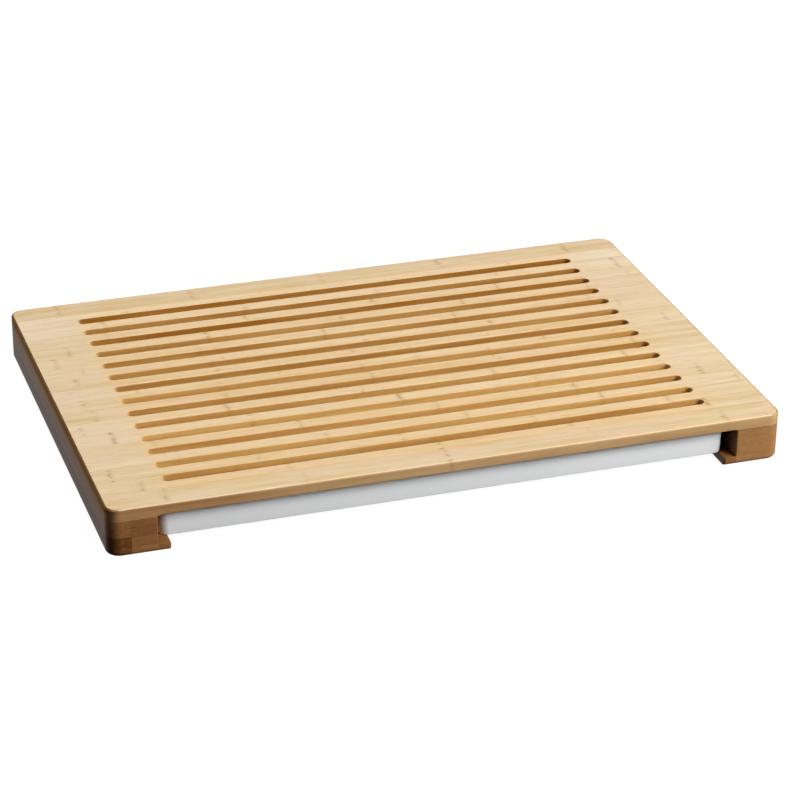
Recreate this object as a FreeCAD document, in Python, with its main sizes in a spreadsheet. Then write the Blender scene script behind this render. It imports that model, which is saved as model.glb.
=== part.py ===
# Bread board of laminated bamboo with a slotted top and a pull-out crumb tray.
#
# Units are millimetres. X runs along the board's width, the front with the tray's mouth faces -Y,
# and Z is up. The origin is on the surface that the board stands on, under the middle of the board.
#
# The slotted top is one panel. Two side rails and a rear rail carry it, glued and screwed from below.
# A runner strip on the inner foot of each side rail carries the tray, which slides out to the front.

import math
import os

import FreeCAD
import Part
import Sketcher

# Driving sizes: name, value in millimetres (or degrees, or a count), and what it is
SIZES = [
    ("board_width", 475.0, "top panel, left to right"),
    ("board_depth", 322.0, "top panel, front to back"),
    ("board_thickness", 8.0, "top panel, underside to cutting face"),
    ("corner_round", 9.5, "plan radius of the four outer corners, panel and rails alike"),
    ("top_edge_round", 1.5, "round on the panel's upper outer edge"),
    ("mouth_edge_round", 1.2, "round on the panel's lower front edge, above the tray's mouth"),
    ("slot_count", 14, "crumb slots through the panel"),
    ("slot_end_inset", 11.0, "from a side rail's inner face to the slots' ends"),
    ("slot_width", 8.0, "crumb slot, across; its ends are half rounds"),
    ("slot_pitch", 19.5, "from one slot's centre line to the next"),
    ("slot_rim_ease", 0.6, "bevel on each slot's upper rim"),
    ("rail_height", 26.5, "side and rear rails, foot to panel"),
    ("rail_width", 33.5, "side rail, across"),
    ("rear_rail_width", 18.0, "rear rail, front to back"),
    ("foot_round", 3.0, "round along the outer foot of all three rails"),
    ("rail_arris_round", 1.0, "round on a side rail's front inner upright edge"),
    ("runner_width", 8.5, "how far a runner strip stands in from its rail"),
    ("runner_height", 6.0, "runner strip, foot to the face that carries the tray"),
    ("runner_arris_round", 1.2, "round on a runner's inner edges"),
    ("tray_side_play", 3.5, "between the tray's rim and each side rail, were the tray in the middle"),
    ("tray_top_gap", 1.3, "running gap between the tray's rim and the panel"),
    ("tray_wall", 2.0, "tray wall and floor"),
    ("tray_draft", 3.0, "lean of the tray's walls, in degrees"),
    ("tray_corner_round", 7.5, "plan radius of the tray's corners at the rim"),
    ("tray_foot_round", 0.6, "round between the tray's outer walls and its foot"),
    ("tray_floor_round", 3.0, "round between the tray's floor and its inner walls"),
    ("tray_setback", 8.0, "from the panel's front edge back to the tray's rim"),
    ("tray_rear_gap", 0.5, "running gap between the closed tray and the rear rail"),
    ("tray_lift", 0.2, "running gap between the runners and the tray's foot"),
    ("tray_side_shift", 1.5, "how far the tray sits to the left of the middle"),
    ("screw_length", 20.0, "wood screw, from under its head to its tip"),
    ("screw_shank", 3.5, "wood screw, across the shank"),
    ("screw_head", 7.0, "wood screw, across the pan head"),
    ("screw_head_height", 2.4, "thickness of the screw's head"),
    ("screw_grip", 4.5, "how far a screw goes into the panel"),
    ("side_screw_inset", 55.0, "from a side rail's ends to its screws"),
    ("rear_screw_inset", 84.0, "from the rear rail's ends to its screws"),
    ("screw_play", 0.25, "radial play round a screw's shank in a rail"),
    ("head_play", 0.75, "radial play round a screw's head in its counterbore"),
    ("pilot_play", 0.02, "radial play round a screw in the panel"),
    ("pilot_spare", 0.8, "how much deeper the pilot hole is than the screw"),
]

SIDES = {"left": -1, "right": 1}

doc = FreeCAD.newDocument("bread_board")
sheet = doc.addObject("Spreadsheet::Sheet", "Sizes")
for row, (alias, value, meaning) in enumerate(SIZES, start=1):
    sheet.set(f"A{row}", alias)
    sheet.set(f"B{row}", f"{value:g}")
    sheet.set(f"C{row}", meaning)
    sheet.setAlias(f"B{row}", alias)

# Sizes that follow from the driving ones
DERIVED = [
    ("channel_width", "=board_width - 2 * rail_width", "between the side rails' inner faces"),
    ("channel_depth", "=board_depth - rear_rail_width", "from the front to the rear rail"),
    ("rail_offset", "=(board_width - rail_width) / 2", "from the middle to a side rail's centre"),
    ("rear_rail_offset", "=(board_depth - rear_rail_width) / 2", "from the middle to the rear rail's centre"),
    ("slot_length", "=channel_width - 2 * slot_end_inset", "crumb slot, end to end"),
    ("tray_width", "=channel_width - 2 * tray_side_play", "tray across its rim"),
    ("tray_height", "=rail_height - runner_height - tray_lift - tray_top_gap", "tray, foot to rim"),
    ("tray_depth", "=channel_depth - tray_setback - tray_rear_gap", "tray across its rim, front to back"),
    ("side_screw_reach", "=board_depth / 2 - side_screw_inset", "side rails' screws from the middle"),
    ("rear_screw_reach", "=channel_width / 2 - rear_screw_inset", "rear rail's screws from the middle"),
    ("screw_seat", "=rail_height + screw_grip - screw_length", "from a rail's foot up to its screw heads"),
]
for row, (alias, formula, meaning) in enumerate(DERIVED, start=len(SIZES) + 1):
    sheet.set(f"A{row}", alias)
    sheet.set(f"B{row}", formula)
    sheet.set(f"C{row}", meaning)
    sheet.setAlias(f"B{row}", alias)
doc.recompute()


def size(alias):
    """Value of one named size."""
    return float(sheet.get(alias))


def bind(item, **formulas):
    """Tie an object's properties to formulas of the named sizes."""
    for name, formula in formulas.items():
        item.setExpression(name, formula)


def place(item, x="0", y="0", z="0"):
    """Tie a sub-part's place to formulas of the named sizes."""
    item.setExpression("Placement.Base.x", x)
    item.setExpression("Placement.Base.y", y)
    item.setExpression("Placement.Base.z", z)


def new_body(name):
    """A sub-part that is built up from features."""
    body = doc.addObject("PartDesign::Body", name)
    body.Label = name
    return body


def plane_of(body, role):
    """One of a body's own origin planes, by its role."""
    return next(item for item in body.Origin.OriginFeatures if item.Role == role)


def new_sketch(body, name, role="XY_Plane", height=None):
    """A sketch on one of the body's origin planes, or parallel to it at a height formula."""
    sketch = body.newObject("Sketcher::SketchObject", name)
    sketch.AttachmentSupport = [(plane_of(body, role), "")]
    sketch.MapMode = "FlatFace"
    if height:
        sketch.setExpression("AttachmentOffset.Base.z", height)
    return sketch


def dimension(sketch, kind, first, second, formula):
    """A signed distance between two points of a sketch, tied to a formula."""
    value = float(sketch.evalExpression(formula))
    number = sketch.addConstraint(Sketcher.Constraint(kind, *first, *second, value))
    sketch.setExpression(f"Constraints[{number}]", formula)


def draw_outline(sketch, low_x, high_x, low_y, high_y, corners):
    """A rectangle whose four sides follow formulas.

    corners gives the radius formula of each corner that is rounded, from the low-x low-y corner
    on anticlockwise, or None where the corner is sharp.
    """
    xs = [float(sketch.evalExpression(formula)) for formula in (low_x, high_x, high_x, low_x)]
    ys = [float(sketch.evalExpression(formula)) for formula in (low_y, low_y, high_y, high_y)]
    radii = [float(sketch.evalExpression(corner)) if corner else 0.0 for corner in corners]
    along = [(1, 0), (0, 1), (-1, 0), (0, -1)]
    sides = []
    for i in range(4):
        j = (i + 1) % 4
        start = FreeCAD.Vector(xs[i] + radii[i] * along[i][0], ys[i] + radii[i] * along[i][1], 0)
        end = FreeCAD.Vector(xs[j] - radii[j] * along[i][0], ys[j] - radii[j] * along[i][1], 0)
        sides.append(sketch.addGeometry(Part.LineSegment(start, end)))
        sketch.addConstraint(Sketcher.Constraint("Vertical" if i % 2 else "Horizontal", sides[i]))
    for i, corner in enumerate(corners):
        before = sides[i - 1]
        if not corner:
            sketch.addConstraint(Sketcher.Constraint("Coincident", before, 2, sides[i], 1))
            continue
        inward = (along[i][0] - along[i - 1][0], along[i][1] - along[i - 1][1])
        centre = FreeCAD.Vector(xs[i] + radii[i] * inward[0], ys[i] + radii[i] * inward[1], 0)
        circle = Part.Circle(centre, FreeCAD.Vector(0, 0, 1), radii[i])
        turn = math.pi / 2 * i
        arc = sketch.addGeometry(Part.ArcOfCircle(circle, turn + math.pi, turn + 1.5 * math.pi))
        sketch.addConstraint(Sketcher.Constraint("Tangent", before, 2, arc, 1))
        sketch.addConstraint(Sketcher.Constraint("Tangent", arc, 2, sides[i], 1))
        number = sketch.addConstraint(Sketcher.Constraint("Radius", arc, radii[i]))
        sketch.setExpression(f"Constraints[{number}]", corner)
    origin = (-1, 1)
    dimension(sketch, "DistanceY", origin, (sides[0], 1), low_y)
    dimension(sketch, "DistanceX", origin, (sides[1], 1), high_x)
    dimension(sketch, "DistanceY", origin, (sides[2], 1), high_y)
    dimension(sketch, "DistanceX", origin, (sides[3], 1), low_x)


def draw_circles(sketch, diameter, centres):
    """Equal circles whose centres follow pairs of formulas."""
    for x, y in centres:
        centre = FreeCAD.Vector(*(float(sketch.evalExpression(formula)) for formula in (x, y)), 0)
        radius = float(sketch.evalExpression(diameter)) / 2
        circle = sketch.addGeometry(Part.Circle(centre, FreeCAD.Vector(0, 0, 1), radius))
        number = sketch.addConstraint(Sketcher.Constraint("Diameter", circle, 2 * radius))
        sketch.setExpression(f"Constraints[{number}]", diameter)
        dimension(sketch, "DistanceX", (-1, 1), (circle, 3), x)
        dimension(sketch, "DistanceY", (-1, 1), (circle, 3), y)


def draw_polygon(sketch, points):
    """A closed run of straight lines through points that follow pairs of formulas."""
    values = [[float(sketch.evalExpression(formula)) for formula in point] for point in points]
    corners = [FreeCAD.Vector(x, y, 0) for x, y in values]
    lines = []
    for start, end in zip(corners, corners[1:] + corners[:1]):
        lines.append(sketch.addGeometry(Part.LineSegment(start, end)))
    for i, (x, y) in enumerate(points):
        sketch.addConstraint(Sketcher.Constraint("Coincident", lines[i - 1], 2, lines[i], 1))
        dimension(sketch, "DistanceX", (-1, 1), (lines[i], 1), x)
        dimension(sketch, "DistanceY", (-1, 1), (lines[i], 1), y)


def pad(body, sketch, length, **settings):
    """A solid raised from a sketch by a length formula."""
    feature = body.newObject("PartDesign::Pad", f"{sketch.Name}_pad")
    feature.Profile = sketch
    bind(feature, Length=length)
    for name, value in settings.items():
        setattr(feature, name, value)
    sketch.Visibility = False
    doc.recompute()
    return feature


def checked_cut(feature, before):
    """Rebuild and make sure that a cutting feature has taken material away."""
    doc.recompute()
    if not feature.Shape.Volume < before.Shape.Volume - 1e-3:
        raise RuntimeError(f"{feature.Name} cuts nothing")
    return feature


def edges_where(feature, test):
    """Names of a feature's edges that pass a test on their bounding box."""
    edges = enumerate(feature.Shape.Edges, start=1)
    return [f"Edge{number}" for number, edge in edges if test(edge.BoundBox)]


def fillet(body, base, name, radius, test):
    """A round along every edge of the base feature that passes the test."""
    names = edges_where(base, test)
    if not names:
        raise RuntimeError(f"{name} finds no edge")
    feature = body.newObject("PartDesign::Fillet", name)
    feature.Base = (base, names)
    bind(feature, Radius=radius)
    return checked_cut(feature, base)


def near(first, second):
    """Whether two lengths are the same."""
    return abs(first - second) < 1e-4


def flat_at(box, height):
    """Whether a bounding box lies in the level plane at a height."""
    return near(box.ZMin, height) and near(box.ZMax, height)


def screw_holes(body, base, name, centres):
    """Holes for wood screws, bored from the rail's foot: a counterbore and a clear bore."""
    sketch = new_sketch(body, f"{name}_places")
    bore = "Sizes.screw_shank + 2 * Sizes.screw_play"
    draw_circles(sketch, bore, centres)
    doc.recompute()
    feature = body.newObject("PartDesign::Hole", name)
    feature.Profile = sketch
    feature.DepthType = "ThroughAll"
    feature.ThreadType = "None"
    feature.HoleCutType = "Counterbore"
    feature.HoleCutCustomValues = True
    feature.Reversed = True
    bind(
        feature,
        Diameter=bore,
        HoleCutDiameter="Sizes.screw_head + 2 * Sizes.head_play",
        HoleCutDepth="Sizes.screw_seat",
    )
    sketch.Visibility = False
    return checked_cut(feature, base)


def side_screw_centres(offset):
    """Places of a side rail's two screws."""
    return [(offset, y) for y in ("-Sizes.side_screw_reach", "Sizes.side_screw_reach")]


def rear_screw_centres(offset):
    """Places of the rear rail's two screws."""
    return [(x, offset) for x in ("-Sizes.rear_screw_reach", "Sizes.rear_screw_reach")]


def slotted_board():
    """The top panel: round corners, a field of long crumb slots, and blind pilot holes below."""
    body = new_body("slotted_board")
    place(body, z="Sizes.rail_height")

    outline = new_sketch(body, "board_outline")
    draw_outline(
        outline,
        "-Sizes.board_width / 2",
        "Sizes.board_width / 2",
        "-Sizes.board_depth / 2",
        "Sizes.board_depth / 2",
        ["Sizes.corner_round"] * 4,
    )
    panel = pad(body, outline, "Sizes.board_thickness")
    top = size("board_thickness")
    round_top = fillet(body, panel, "top_round", "Sizes.top_edge_round", lambda box: flat_at(box, top))

    first_slot = new_sketch(body, "first_slot")
    half_run = "(Sizes.slot_length - Sizes.slot_width) / 2"
    front_row = "-(Sizes.slot_count - 1) / 2 * Sizes.slot_pitch"
    draw_slot(first_slot, half_run, front_row, "Sizes.slot_width / 2")
    slot = body.newObject("PartDesign::Pocket", "slot")
    slot.Profile = first_slot
    slot.Type = "ThroughAll"
    slot.Reversed = True
    first_slot.Visibility = False
    checked_cut(slot, round_top)

    rows = body.newObject("PartDesign::LinearPattern", "slot_rows")
    rows.Originals = [slot]
    rows.Direction = (first_slot, ["V_Axis"])
    bind(rows, Length="(Sizes.slot_count - 1) * Sizes.slot_pitch", Occurrences="Sizes.slot_count")
    body.Tip = rows
    checked_cut(rows, slot)

    reach = size("slot_length") / 2
    rim_edges = edges_where(rows, lambda box: flat_at(box, top) and max(-box.XMin, box.XMax) < reach + 1)
    rims = body.newObject("PartDesign::Chamfer", "slot_rims")
    rims.Base = (rows, rim_edges)
    bind(rims, Size="Sizes.slot_rim_ease")
    checked_cut(rims, rows)

    mouth = new_sketch(body, "mouth_edge", "YZ_Plane")
    draw_edge_waste(mouth, "-Sizes.board_depth / 2", "Sizes.mouth_edge_round")
    ease = body.newObject("PartDesign::Pocket", "mouth_round")
    ease.Profile = mouth
    ease.Midplane = True
    bind(ease, Length="Sizes.channel_width")
    mouth.Visibility = False
    checked_cut(ease, rims)

    places = new_sketch(body, "pilot_places")
    pilot = "Sizes.screw_shank + 2 * Sizes.pilot_play"
    centres = side_screw_centres("-Sizes.rail_offset") + side_screw_centres("Sizes.rail_offset")
    centres += rear_screw_centres("Sizes.rear_rail_offset")
    draw_circles(places, pilot, centres)
    holes = body.newObject("PartDesign::Pocket", "pilot_holes")
    holes.Profile = places
    holes.Reversed = True
    bind(holes, Length="Sizes.screw_grip + Sizes.pilot_spare")
    places.Visibility = False
    checked_cut(holes, ease)
    return body


def draw_slot(sketch, half_run, row, radius):
    """A long slot with half-round ends, centred left to right on a row."""
    run, y, end = (float(sketch.evalExpression(formula)) for formula in (half_run, row, radius))
    up = FreeCAD.Vector(0, 0, 1)
    near_side = Part.LineSegment(FreeCAD.Vector(-run, y - end, 0), FreeCAD.Vector(run, y - end, 0))
    far_side = Part.LineSegment(FreeCAD.Vector(run, y + end, 0), FreeCAD.Vector(-run, y + end, 0))
    right_end = Part.ArcOfCircle(Part.Circle(FreeCAD.Vector(run, y, 0), up, end), -math.pi / 2, math.pi / 2)
    left_end = Part.ArcOfCircle(Part.Circle(FreeCAD.Vector(-run, y, 0), up, end), math.pi / 2, 1.5 * math.pi)
    parts = [sketch.addGeometry(part) for part in (near_side, right_end, far_side, left_end)]
    for i, part in enumerate(parts):
        sketch.addConstraint(Sketcher.Constraint("Tangent", parts[i - 1], 2, part, 1))
    sketch.addConstraint(Sketcher.Constraint("Horizontal", parts[0]))
    number = sketch.addConstraint(Sketcher.Constraint("Radius", parts[1], end))
    sketch.setExpression(f"Constraints[{number}]", radius)
    dimension(sketch, "DistanceX", (-1, 1), (parts[1], 3), half_run)
    dimension(sketch, "DistanceY", (-1, 1), (parts[1], 3), row)
    dimension(sketch, "DistanceX", (parts[3], 3), (-1, 1), half_run)


def draw_edge_waste(sketch, edge, radius):
    """What a round takes off a lower front edge: a square corner less a quarter circle."""
    y, r = (float(sketch.evalExpression(formula)) for formula in (edge, radius))
    corner = FreeCAD.Vector(y, 0, 0)
    foot = FreeCAD.Vector(y + r, 0, 0)
    head = FreeCAD.Vector(y, r, 0)
    circle = Part.Circle(FreeCAD.Vector(y + r, r, 0), FreeCAD.Vector(0, 0, 1), r)
    level = sketch.addGeometry(Part.LineSegment(corner, foot))
    upright = sketch.addGeometry(Part.LineSegment(head, corner))
    arc = sketch.addGeometry(Part.ArcOfCircle(circle, math.pi, 1.5 * math.pi))
    sketch.addConstraint(Sketcher.Constraint("Coincident", upright, 2, level, 1))
    sketch.addConstraint(Sketcher.Constraint("Horizontal", level))
    sketch.addConstraint(Sketcher.Constraint("Vertical", upright))
    sketch.addConstraint(Sketcher.Constraint("Tangent", upright, 1, arc, 1))
    sketch.addConstraint(Sketcher.Constraint("Tangent", level, 2, arc, 2))
    number = sketch.addConstraint(Sketcher.Constraint("Radius", arc, r))
    sketch.setExpression(f"Constraints[{number}]", radius)
    dimension(sketch, "DistanceX", (-1, 1), (level, 1), edge)
    sketch.addConstraint(Sketcher.Constraint("PointOnObject", level, 1, -1))


def side_rail(side):
    """A side rail: outer corners that follow the panel's, a rounded foot, two screw holes."""
    sign = SIDES[side]
    body = new_body(f"{side}_rail")
    place(body, x=f"{sign} * Sizes.rail_offset")

    outline = new_sketch(body, f"{side}_rail_outline")
    corner = "Sizes.corner_round"
    arris = "Sizes.rail_arris_round"
    draw_outline(
        outline,
        "-Sizes.rail_width / 2",
        "Sizes.rail_width / 2",
        "-Sizes.board_depth / 2",
        "Sizes.board_depth / 2",
        [corner, arris, None, corner] if side == "left" else [arris, corner, corner, None],
    )
    block = pad(body, outline, "Sizes.rail_height")
    inner = -sign * size("rail_width") / 2
    front = -size("board_depth") / 2

    def outer_foot(box):
        along_inner = near(box.XMin, inner) and near(box.XMax, inner)
        inner_arris = near(box.YMin, front) and box.XLength < size("rail_arris_round") + 1e-3
        return flat_at(box, 0) and not along_inner and not inner_arris

    foot = fillet(body, block, f"{side}_foot", "Sizes.foot_round", outer_foot)
    screw_holes(body, foot, f"{side}_screw_holes", side_screw_centres("0"))
    return body


def rear_rail():
    """The rear rail, which closes the channel behind the tray and stops it."""
    body = new_body("rear_rail")
    place(body, y="Sizes.rear_rail_offset")
    outline = new_sketch(body, "rear_rail_outline")
    draw_outline(
        outline,
        "-Sizes.channel_width / 2",
        "Sizes.channel_width / 2",
        "-Sizes.rear_rail_width / 2",
        "Sizes.rear_rail_width / 2",
        [None] * 4,
    )
    block = pad(body, outline, "Sizes.rail_height")
    back = size("rear_rail_width") / 2
    foot = fillet(
        body,
        block,
        "rear_foot",
        "Sizes.foot_round",
        lambda box: flat_at(box, 0) and near(box.YMin, back) and near(box.YMax, back),
    )
    screw_holes(body, foot, "rear_screw_holes", rear_screw_centres("0"))
    return body


def runner(side):
    """A runner strip, glued to the inner foot of its side rail; the tray slides on it."""
    sign = SIDES[side]
    body = new_body(f"{side}_runner")
    place(body, x=f"{sign} * (Sizes.channel_width - Sizes.runner_width) / 2")
    outline = new_sketch(body, f"{side}_runner_outline")
    arris = "Sizes.runner_arris_round"
    draw_outline(
        outline,
        "-Sizes.runner_width / 2",
        "Sizes.runner_width / 2",
        "-Sizes.board_depth / 2",
        "Sizes.board_depth / 2 - Sizes.rear_rail_width",
        [None, arris, None, None] if side == "left" else [arris, None, None, None],
    )
    strip = pad(body, outline, "Sizes.runner_height")
    inner = -sign * size("runner_width") / 2
    front = -size("board_depth") / 2
    top = size("runner_height")

    def front_foot(box):
        return flat_at(box, 0) and near(box.YMin, front) and near(box.YMax, front)

    foot = fillet(body, strip, f"{side}_runner_foot", "Sizes.foot_round", front_foot)

    def inner_edge(box):
        return near(box.XMin, inner) and near(box.XMax, inner) and flat_at(box, top)

    fillet(body, foot, f"{side}_runner_edge", arris, inner_edge)
    return body


def crumb_tray():
    """The moulded tray: drafted walls, round corners, and an even wall round an open top."""
    body = new_body("crumb_tray")
    place(
        body,
        x="-Sizes.tray_side_shift",
        y="-Sizes.board_depth / 2 + Sizes.tray_setback + Sizes.tray_depth / 2",
        z="Sizes.runner_height + Sizes.tray_lift",
    )
    rim = new_sketch(body, "tray_rim", height="Sizes.tray_height")
    draw_outline(
        rim,
        "-Sizes.tray_width / 2",
        "Sizes.tray_width / 2",
        "-Sizes.tray_depth / 2",
        "Sizes.tray_depth / 2",
        ["Sizes.tray_corner_round"] * 4,
    )
    block = pad(body, rim, "Sizes.tray_height", Reversed=True)
    bind(block, TaperAngle="-Sizes.tray_draft")
    doc.recompute()
    foot = fillet(body, block, "tray_foot", "Sizes.tray_foot_round", lambda box: flat_at(box, 0))

    mouth = new_sketch(body, "tray_mouth", height="Sizes.tray_height")
    draw_outline(
        mouth,
        "-Sizes.tray_width / 2 + Sizes.tray_wall",
        "Sizes.tray_width / 2 - Sizes.tray_wall",
        "-Sizes.tray_depth / 2 + Sizes.tray_wall",
        "Sizes.tray_depth / 2 - Sizes.tray_wall",
        ["Sizes.tray_corner_round - Sizes.tray_wall"] * 4,
    )
    hollow = body.newObject("PartDesign::Pocket", "tray_hollow")
    hollow.Profile = mouth
    bind(hollow, Length="Sizes.tray_height - Sizes.tray_wall", TaperAngle="-Sizes.tray_draft")
    mouth.Visibility = False
    checked_cut(hollow, foot)

    floor = size("tray_wall")
    inner = body.newObject("PartDesign::Fillet", "tray_floor")
    inner.Base = (hollow, edges_where(hollow, lambda box: flat_at(box, floor)))
    bind(inner, Radius="Sizes.tray_floor_round")
    doc.recompute()
    if not inner.Shape.Volume > hollow.Shape.Volume:
        raise RuntimeError("the tray's floor has no round")
    return body


def rail_screws():
    """All the wood screws, driven upwards: two in each of the three rails."""
    body = new_body("rail_screws")
    body.AllowCompound = True
    place(body, z="Sizes.screw_seat")
    across = (plane_of(body, "X_Axis"), [""])
    along = (plane_of(body, "Y_Axis"), [""])

    side_rows = screw_row(body, "side", "-Sizes.rail_offset", "-Sizes.side_screw_reach")
    side_rows.Direction = across
    side_rows.Occurrences = 2
    side_rows.Direction2 = along
    side_rows.Occurrences2 = 2
    bind(side_rows, Length="2 * Sizes.rail_offset", Length2="2 * Sizes.side_screw_reach")
    doc.recompute()

    rear_row = screw_row(body, "rear", "-Sizes.rear_screw_reach", "Sizes.rear_rail_offset")
    rear_row.Direction = across
    rear_row.Occurrences = 2
    bind(rear_row, Length="2 * Sizes.rear_screw_reach")
    doc.recompute()
    return body


def screw_row(body, name, x, y):
    """One wood screw turned about its axis at a place, and the pattern that will repeat it."""
    profile = new_sketch(body, f"{name}_screw_profile", "XZ_Plane", height=f"-({y})")
    draw_screw(profile, x)
    screw = body.newObject("PartDesign::Revolution", f"{name}_screw")
    screw.Profile = profile
    screw.ReferenceAxis = (profile, ["Axis0"])
    screw.Angle = 360
    profile.Visibility = False
    doc.recompute()
    row = body.newObject("PartDesign::LinearPattern", f"{name}_screws")
    row.Originals = [screw]
    body.Tip = row
    return row


def draw_screw(sketch, x):
    """Half the outline of a pan-head wood screw, with its axis as a construction line."""
    head, shank = (f"({x}) + Sizes.{name} / 2" for name in ("screw_head", "screw_shank"))
    under, end = "-Sizes.screw_head_height", "Sizes.screw_length"
    draw_polygon(sketch, [(x, under), (head, under), (head, "0"), (shank, "0"), (shank, end), (x, end)])
    at = float(sketch.evalExpression(x))
    line = sketch.addGeometry(Part.LineSegment(FreeCAD.Vector(at, 0, 0), FreeCAD.Vector(at, 1, 0)), True)
    sketch.addConstraint(Sketcher.Constraint("Vertical", line))
    dimension(sketch, "DistanceX", (-1, 1), (line, 1), x)


parts = [
    slotted_board(),
    side_rail("left"),
    side_rail("right"),
    rear_rail(),
    runner("left"),
    runner("right"),
    crumb_tray(),
    rail_screws(),
]
doc.recompute()

for item in doc.Objects:
    if "Invalid" in item.State or "Error" in item.State:
        raise RuntimeError(f"{item.Name} is {item.State}")
for part in parts:
    if part.Shape.isNull() or not part.Shape.isValid():
        raise RuntimeError(f"{part.Label} has no sound shape")

os.makedirs("parts", exist_ok=True)
for part in parts:
    part.Shape.exportStep(f"parts/{part.Label}.step")
    box = part.Shape.BoundBox
    print(f"{part.Label}: {len(part.Shape.Solids)} solids, {part.Shape.Volume:.0f} mm3,",
          f"{box.XLength:.2f} x {box.YLength:.2f} x {box.ZLength:.2f}")
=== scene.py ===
"""Bread board of laminated bamboo: a slotted top on three rails, and a white crumb tray that slides out.

Lengths are metres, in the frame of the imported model: X along the slots, the tray's mouth faces -Y, Z up.
"""

import logging
from collections.abc import Mapping, Sequence
from dataclasses import dataclass, field
from enum import Enum

import bpy
import numpy as np
from mathutils import Matrix, Vector
from mathutils.geometry import delaunay_2d_cdt
from numpy.typing import NDArray


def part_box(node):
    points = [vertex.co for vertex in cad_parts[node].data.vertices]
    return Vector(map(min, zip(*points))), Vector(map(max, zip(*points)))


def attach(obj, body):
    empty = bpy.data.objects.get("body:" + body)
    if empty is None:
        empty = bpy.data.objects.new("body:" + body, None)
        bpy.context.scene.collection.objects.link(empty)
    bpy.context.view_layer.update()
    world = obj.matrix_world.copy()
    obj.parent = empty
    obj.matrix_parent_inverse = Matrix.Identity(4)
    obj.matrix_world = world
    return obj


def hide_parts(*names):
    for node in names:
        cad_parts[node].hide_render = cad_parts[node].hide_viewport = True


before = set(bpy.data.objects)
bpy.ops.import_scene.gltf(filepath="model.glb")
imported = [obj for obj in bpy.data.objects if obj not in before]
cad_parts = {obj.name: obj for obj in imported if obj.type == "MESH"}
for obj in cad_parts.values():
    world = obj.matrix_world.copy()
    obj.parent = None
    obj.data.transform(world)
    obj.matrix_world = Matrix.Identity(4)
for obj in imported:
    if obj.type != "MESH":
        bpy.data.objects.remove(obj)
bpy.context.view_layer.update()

MM = 0.001

log = logging.getLogger("bread_board")


class Side(Enum):
    """The two sides of the board, with the sign of their X."""

    LEFT = -1
    RIGHT = 1

    @property
    def word(self) -> str:
        """The side as it stands in names."""
        return self.name.lower()


def linear(code: str) -> tuple[float, float, float, float]:
    """Turns an sRGB hex colour to linear light.

    Args:
        code: six hex digits, such as "d9bd90".

    Returns:
        Linear red, green, blue, and an alpha of one.
    """
    parts = np.array([int(code[i : i + 2], 16) for i in (0, 2, 4)]) / 255.0
    light = np.where(parts <= 0.04045, parts / 12.92, ((parts + 0.055) / 1.055) ** 2.4)
    return (*(float(value) for value in light), 1.0)


def add_node(
    tree: bpy.types.NodeTree,
    kind: str,
    settings: Mapping[str, object] | None = None,
    inputs: Mapping[int | str, object] | None = None,
) -> bpy.types.Node:
    """Adds one shader node with its settings and links.

    Args:
        tree: the node tree that gets the node.
        kind: the node's Blender type.
        settings: the node's own properties.
        inputs: by input name or number, a value, a socket to link, or a node whose first output is linked.

    Returns:
        The new node.
    """
    node = tree.nodes.new(kind)
    for name, value in (settings or {}).items():
        setattr(node, name, value)
    for name, value in (inputs or {}).items():
        if isinstance(value, bpy.types.Node):
            value = value.outputs[0]
        if isinstance(value, bpy.types.NodeSocket):
            tree.links.new(value, node.inputs[name])
        else:
            node.inputs[name].default_value = value
    return node


def quarter_round(height: NDArray, radius: float) -> NDArray:
    """How far a quarter round stands back from its wall.

    The inset is r - sqrt(r^2 - (r - h)^2) at a height h above the round's foot, and nothing above the round.

    Args:
        height: heights above the foot of the round.
        radius: radius of the round.

    Returns:
        The inset at each height.
    """
    rise = np.clip(radius - height, 0.0, radius)
    return radius - np.sqrt(radius**2 - rise**2)


def round_heights(radius: float, steps: int = 7) -> NDArray:
    """Heights that divide a quarter round into equal turns, from its foot to its end."""
    turn = np.linspace(0.0, np.pi / 2, steps + 1)
    return radius * (1.0 - np.cos(turn))


def merge_levels(*runs: NDArray) -> NDArray:
    """Joins runs of heights into one rising run without near repeats."""
    levels = np.sort(np.concatenate(runs))
    keep = np.concatenate(([True], np.diff(levels) > 0.01 * MM))
    return levels[keep]


def rounded_rectangles(
    low: NDArray,
    high: NDArray,
    radii: NDArray,
    stations: Sequence[NDArray] | None = None,
    arc_steps: int = 10,
) -> NDArray:
    """Outlines of a rectangle with round corners, one for each level.

    Each corner is its centre plus its radius times (cos a, sin a) over a quarter turn. Between two corners
    the side is straight, and its stations are the fractions of the way at which it has further points.

    Args:
        low: lower x and y of each level, (levels, 2).
        high: upper x and y of each level, (levels, 2).
        radii: corner radii of each level, anticlockwise from the corner of low x and low y, (levels, 4).
        stations: fractions from 0 to 1 for each of the four sides, from the low-y side on anticlockwise.
        arc_steps: steps in each corner.

    Returns:
        Points in anticlockwise order, (levels, points, 2).
    """
    stations = stations or [np.empty(0)] * 4
    inward = np.array([[1, 1], [-1, 1], [-1, -1], [1, -1]], float)
    corners = np.stack(
        [
            low,
            np.column_stack((high[:, 0], low[:, 1])),
            high,
            np.column_stack((low[:, 0], high[:, 1])),
        ],
        axis=1,
    )
    centres = corners + inward * radii[:, :, None]
    turn = np.pi * (1.0 + 0.5 * np.arange(4)[:, None] + np.linspace(0.0, 0.5, arc_steps + 1))
    spokes = np.stack((np.cos(turn), np.sin(turn)), axis=-1)
    arcs = centres[:, :, None, :] + radii[:, :, None, None] * spokes
    runs = []
    for i in range(4):
        start = arcs[:, i, -1][:, None, :]
        end = arcs[:, (i + 1) % 4, 0][:, None, :]
        way = np.asarray(stations[i])[None, :, None]
        runs += [arcs[:, i], start + (end - start) * way]
    return np.concatenate(runs, axis=1)


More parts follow.
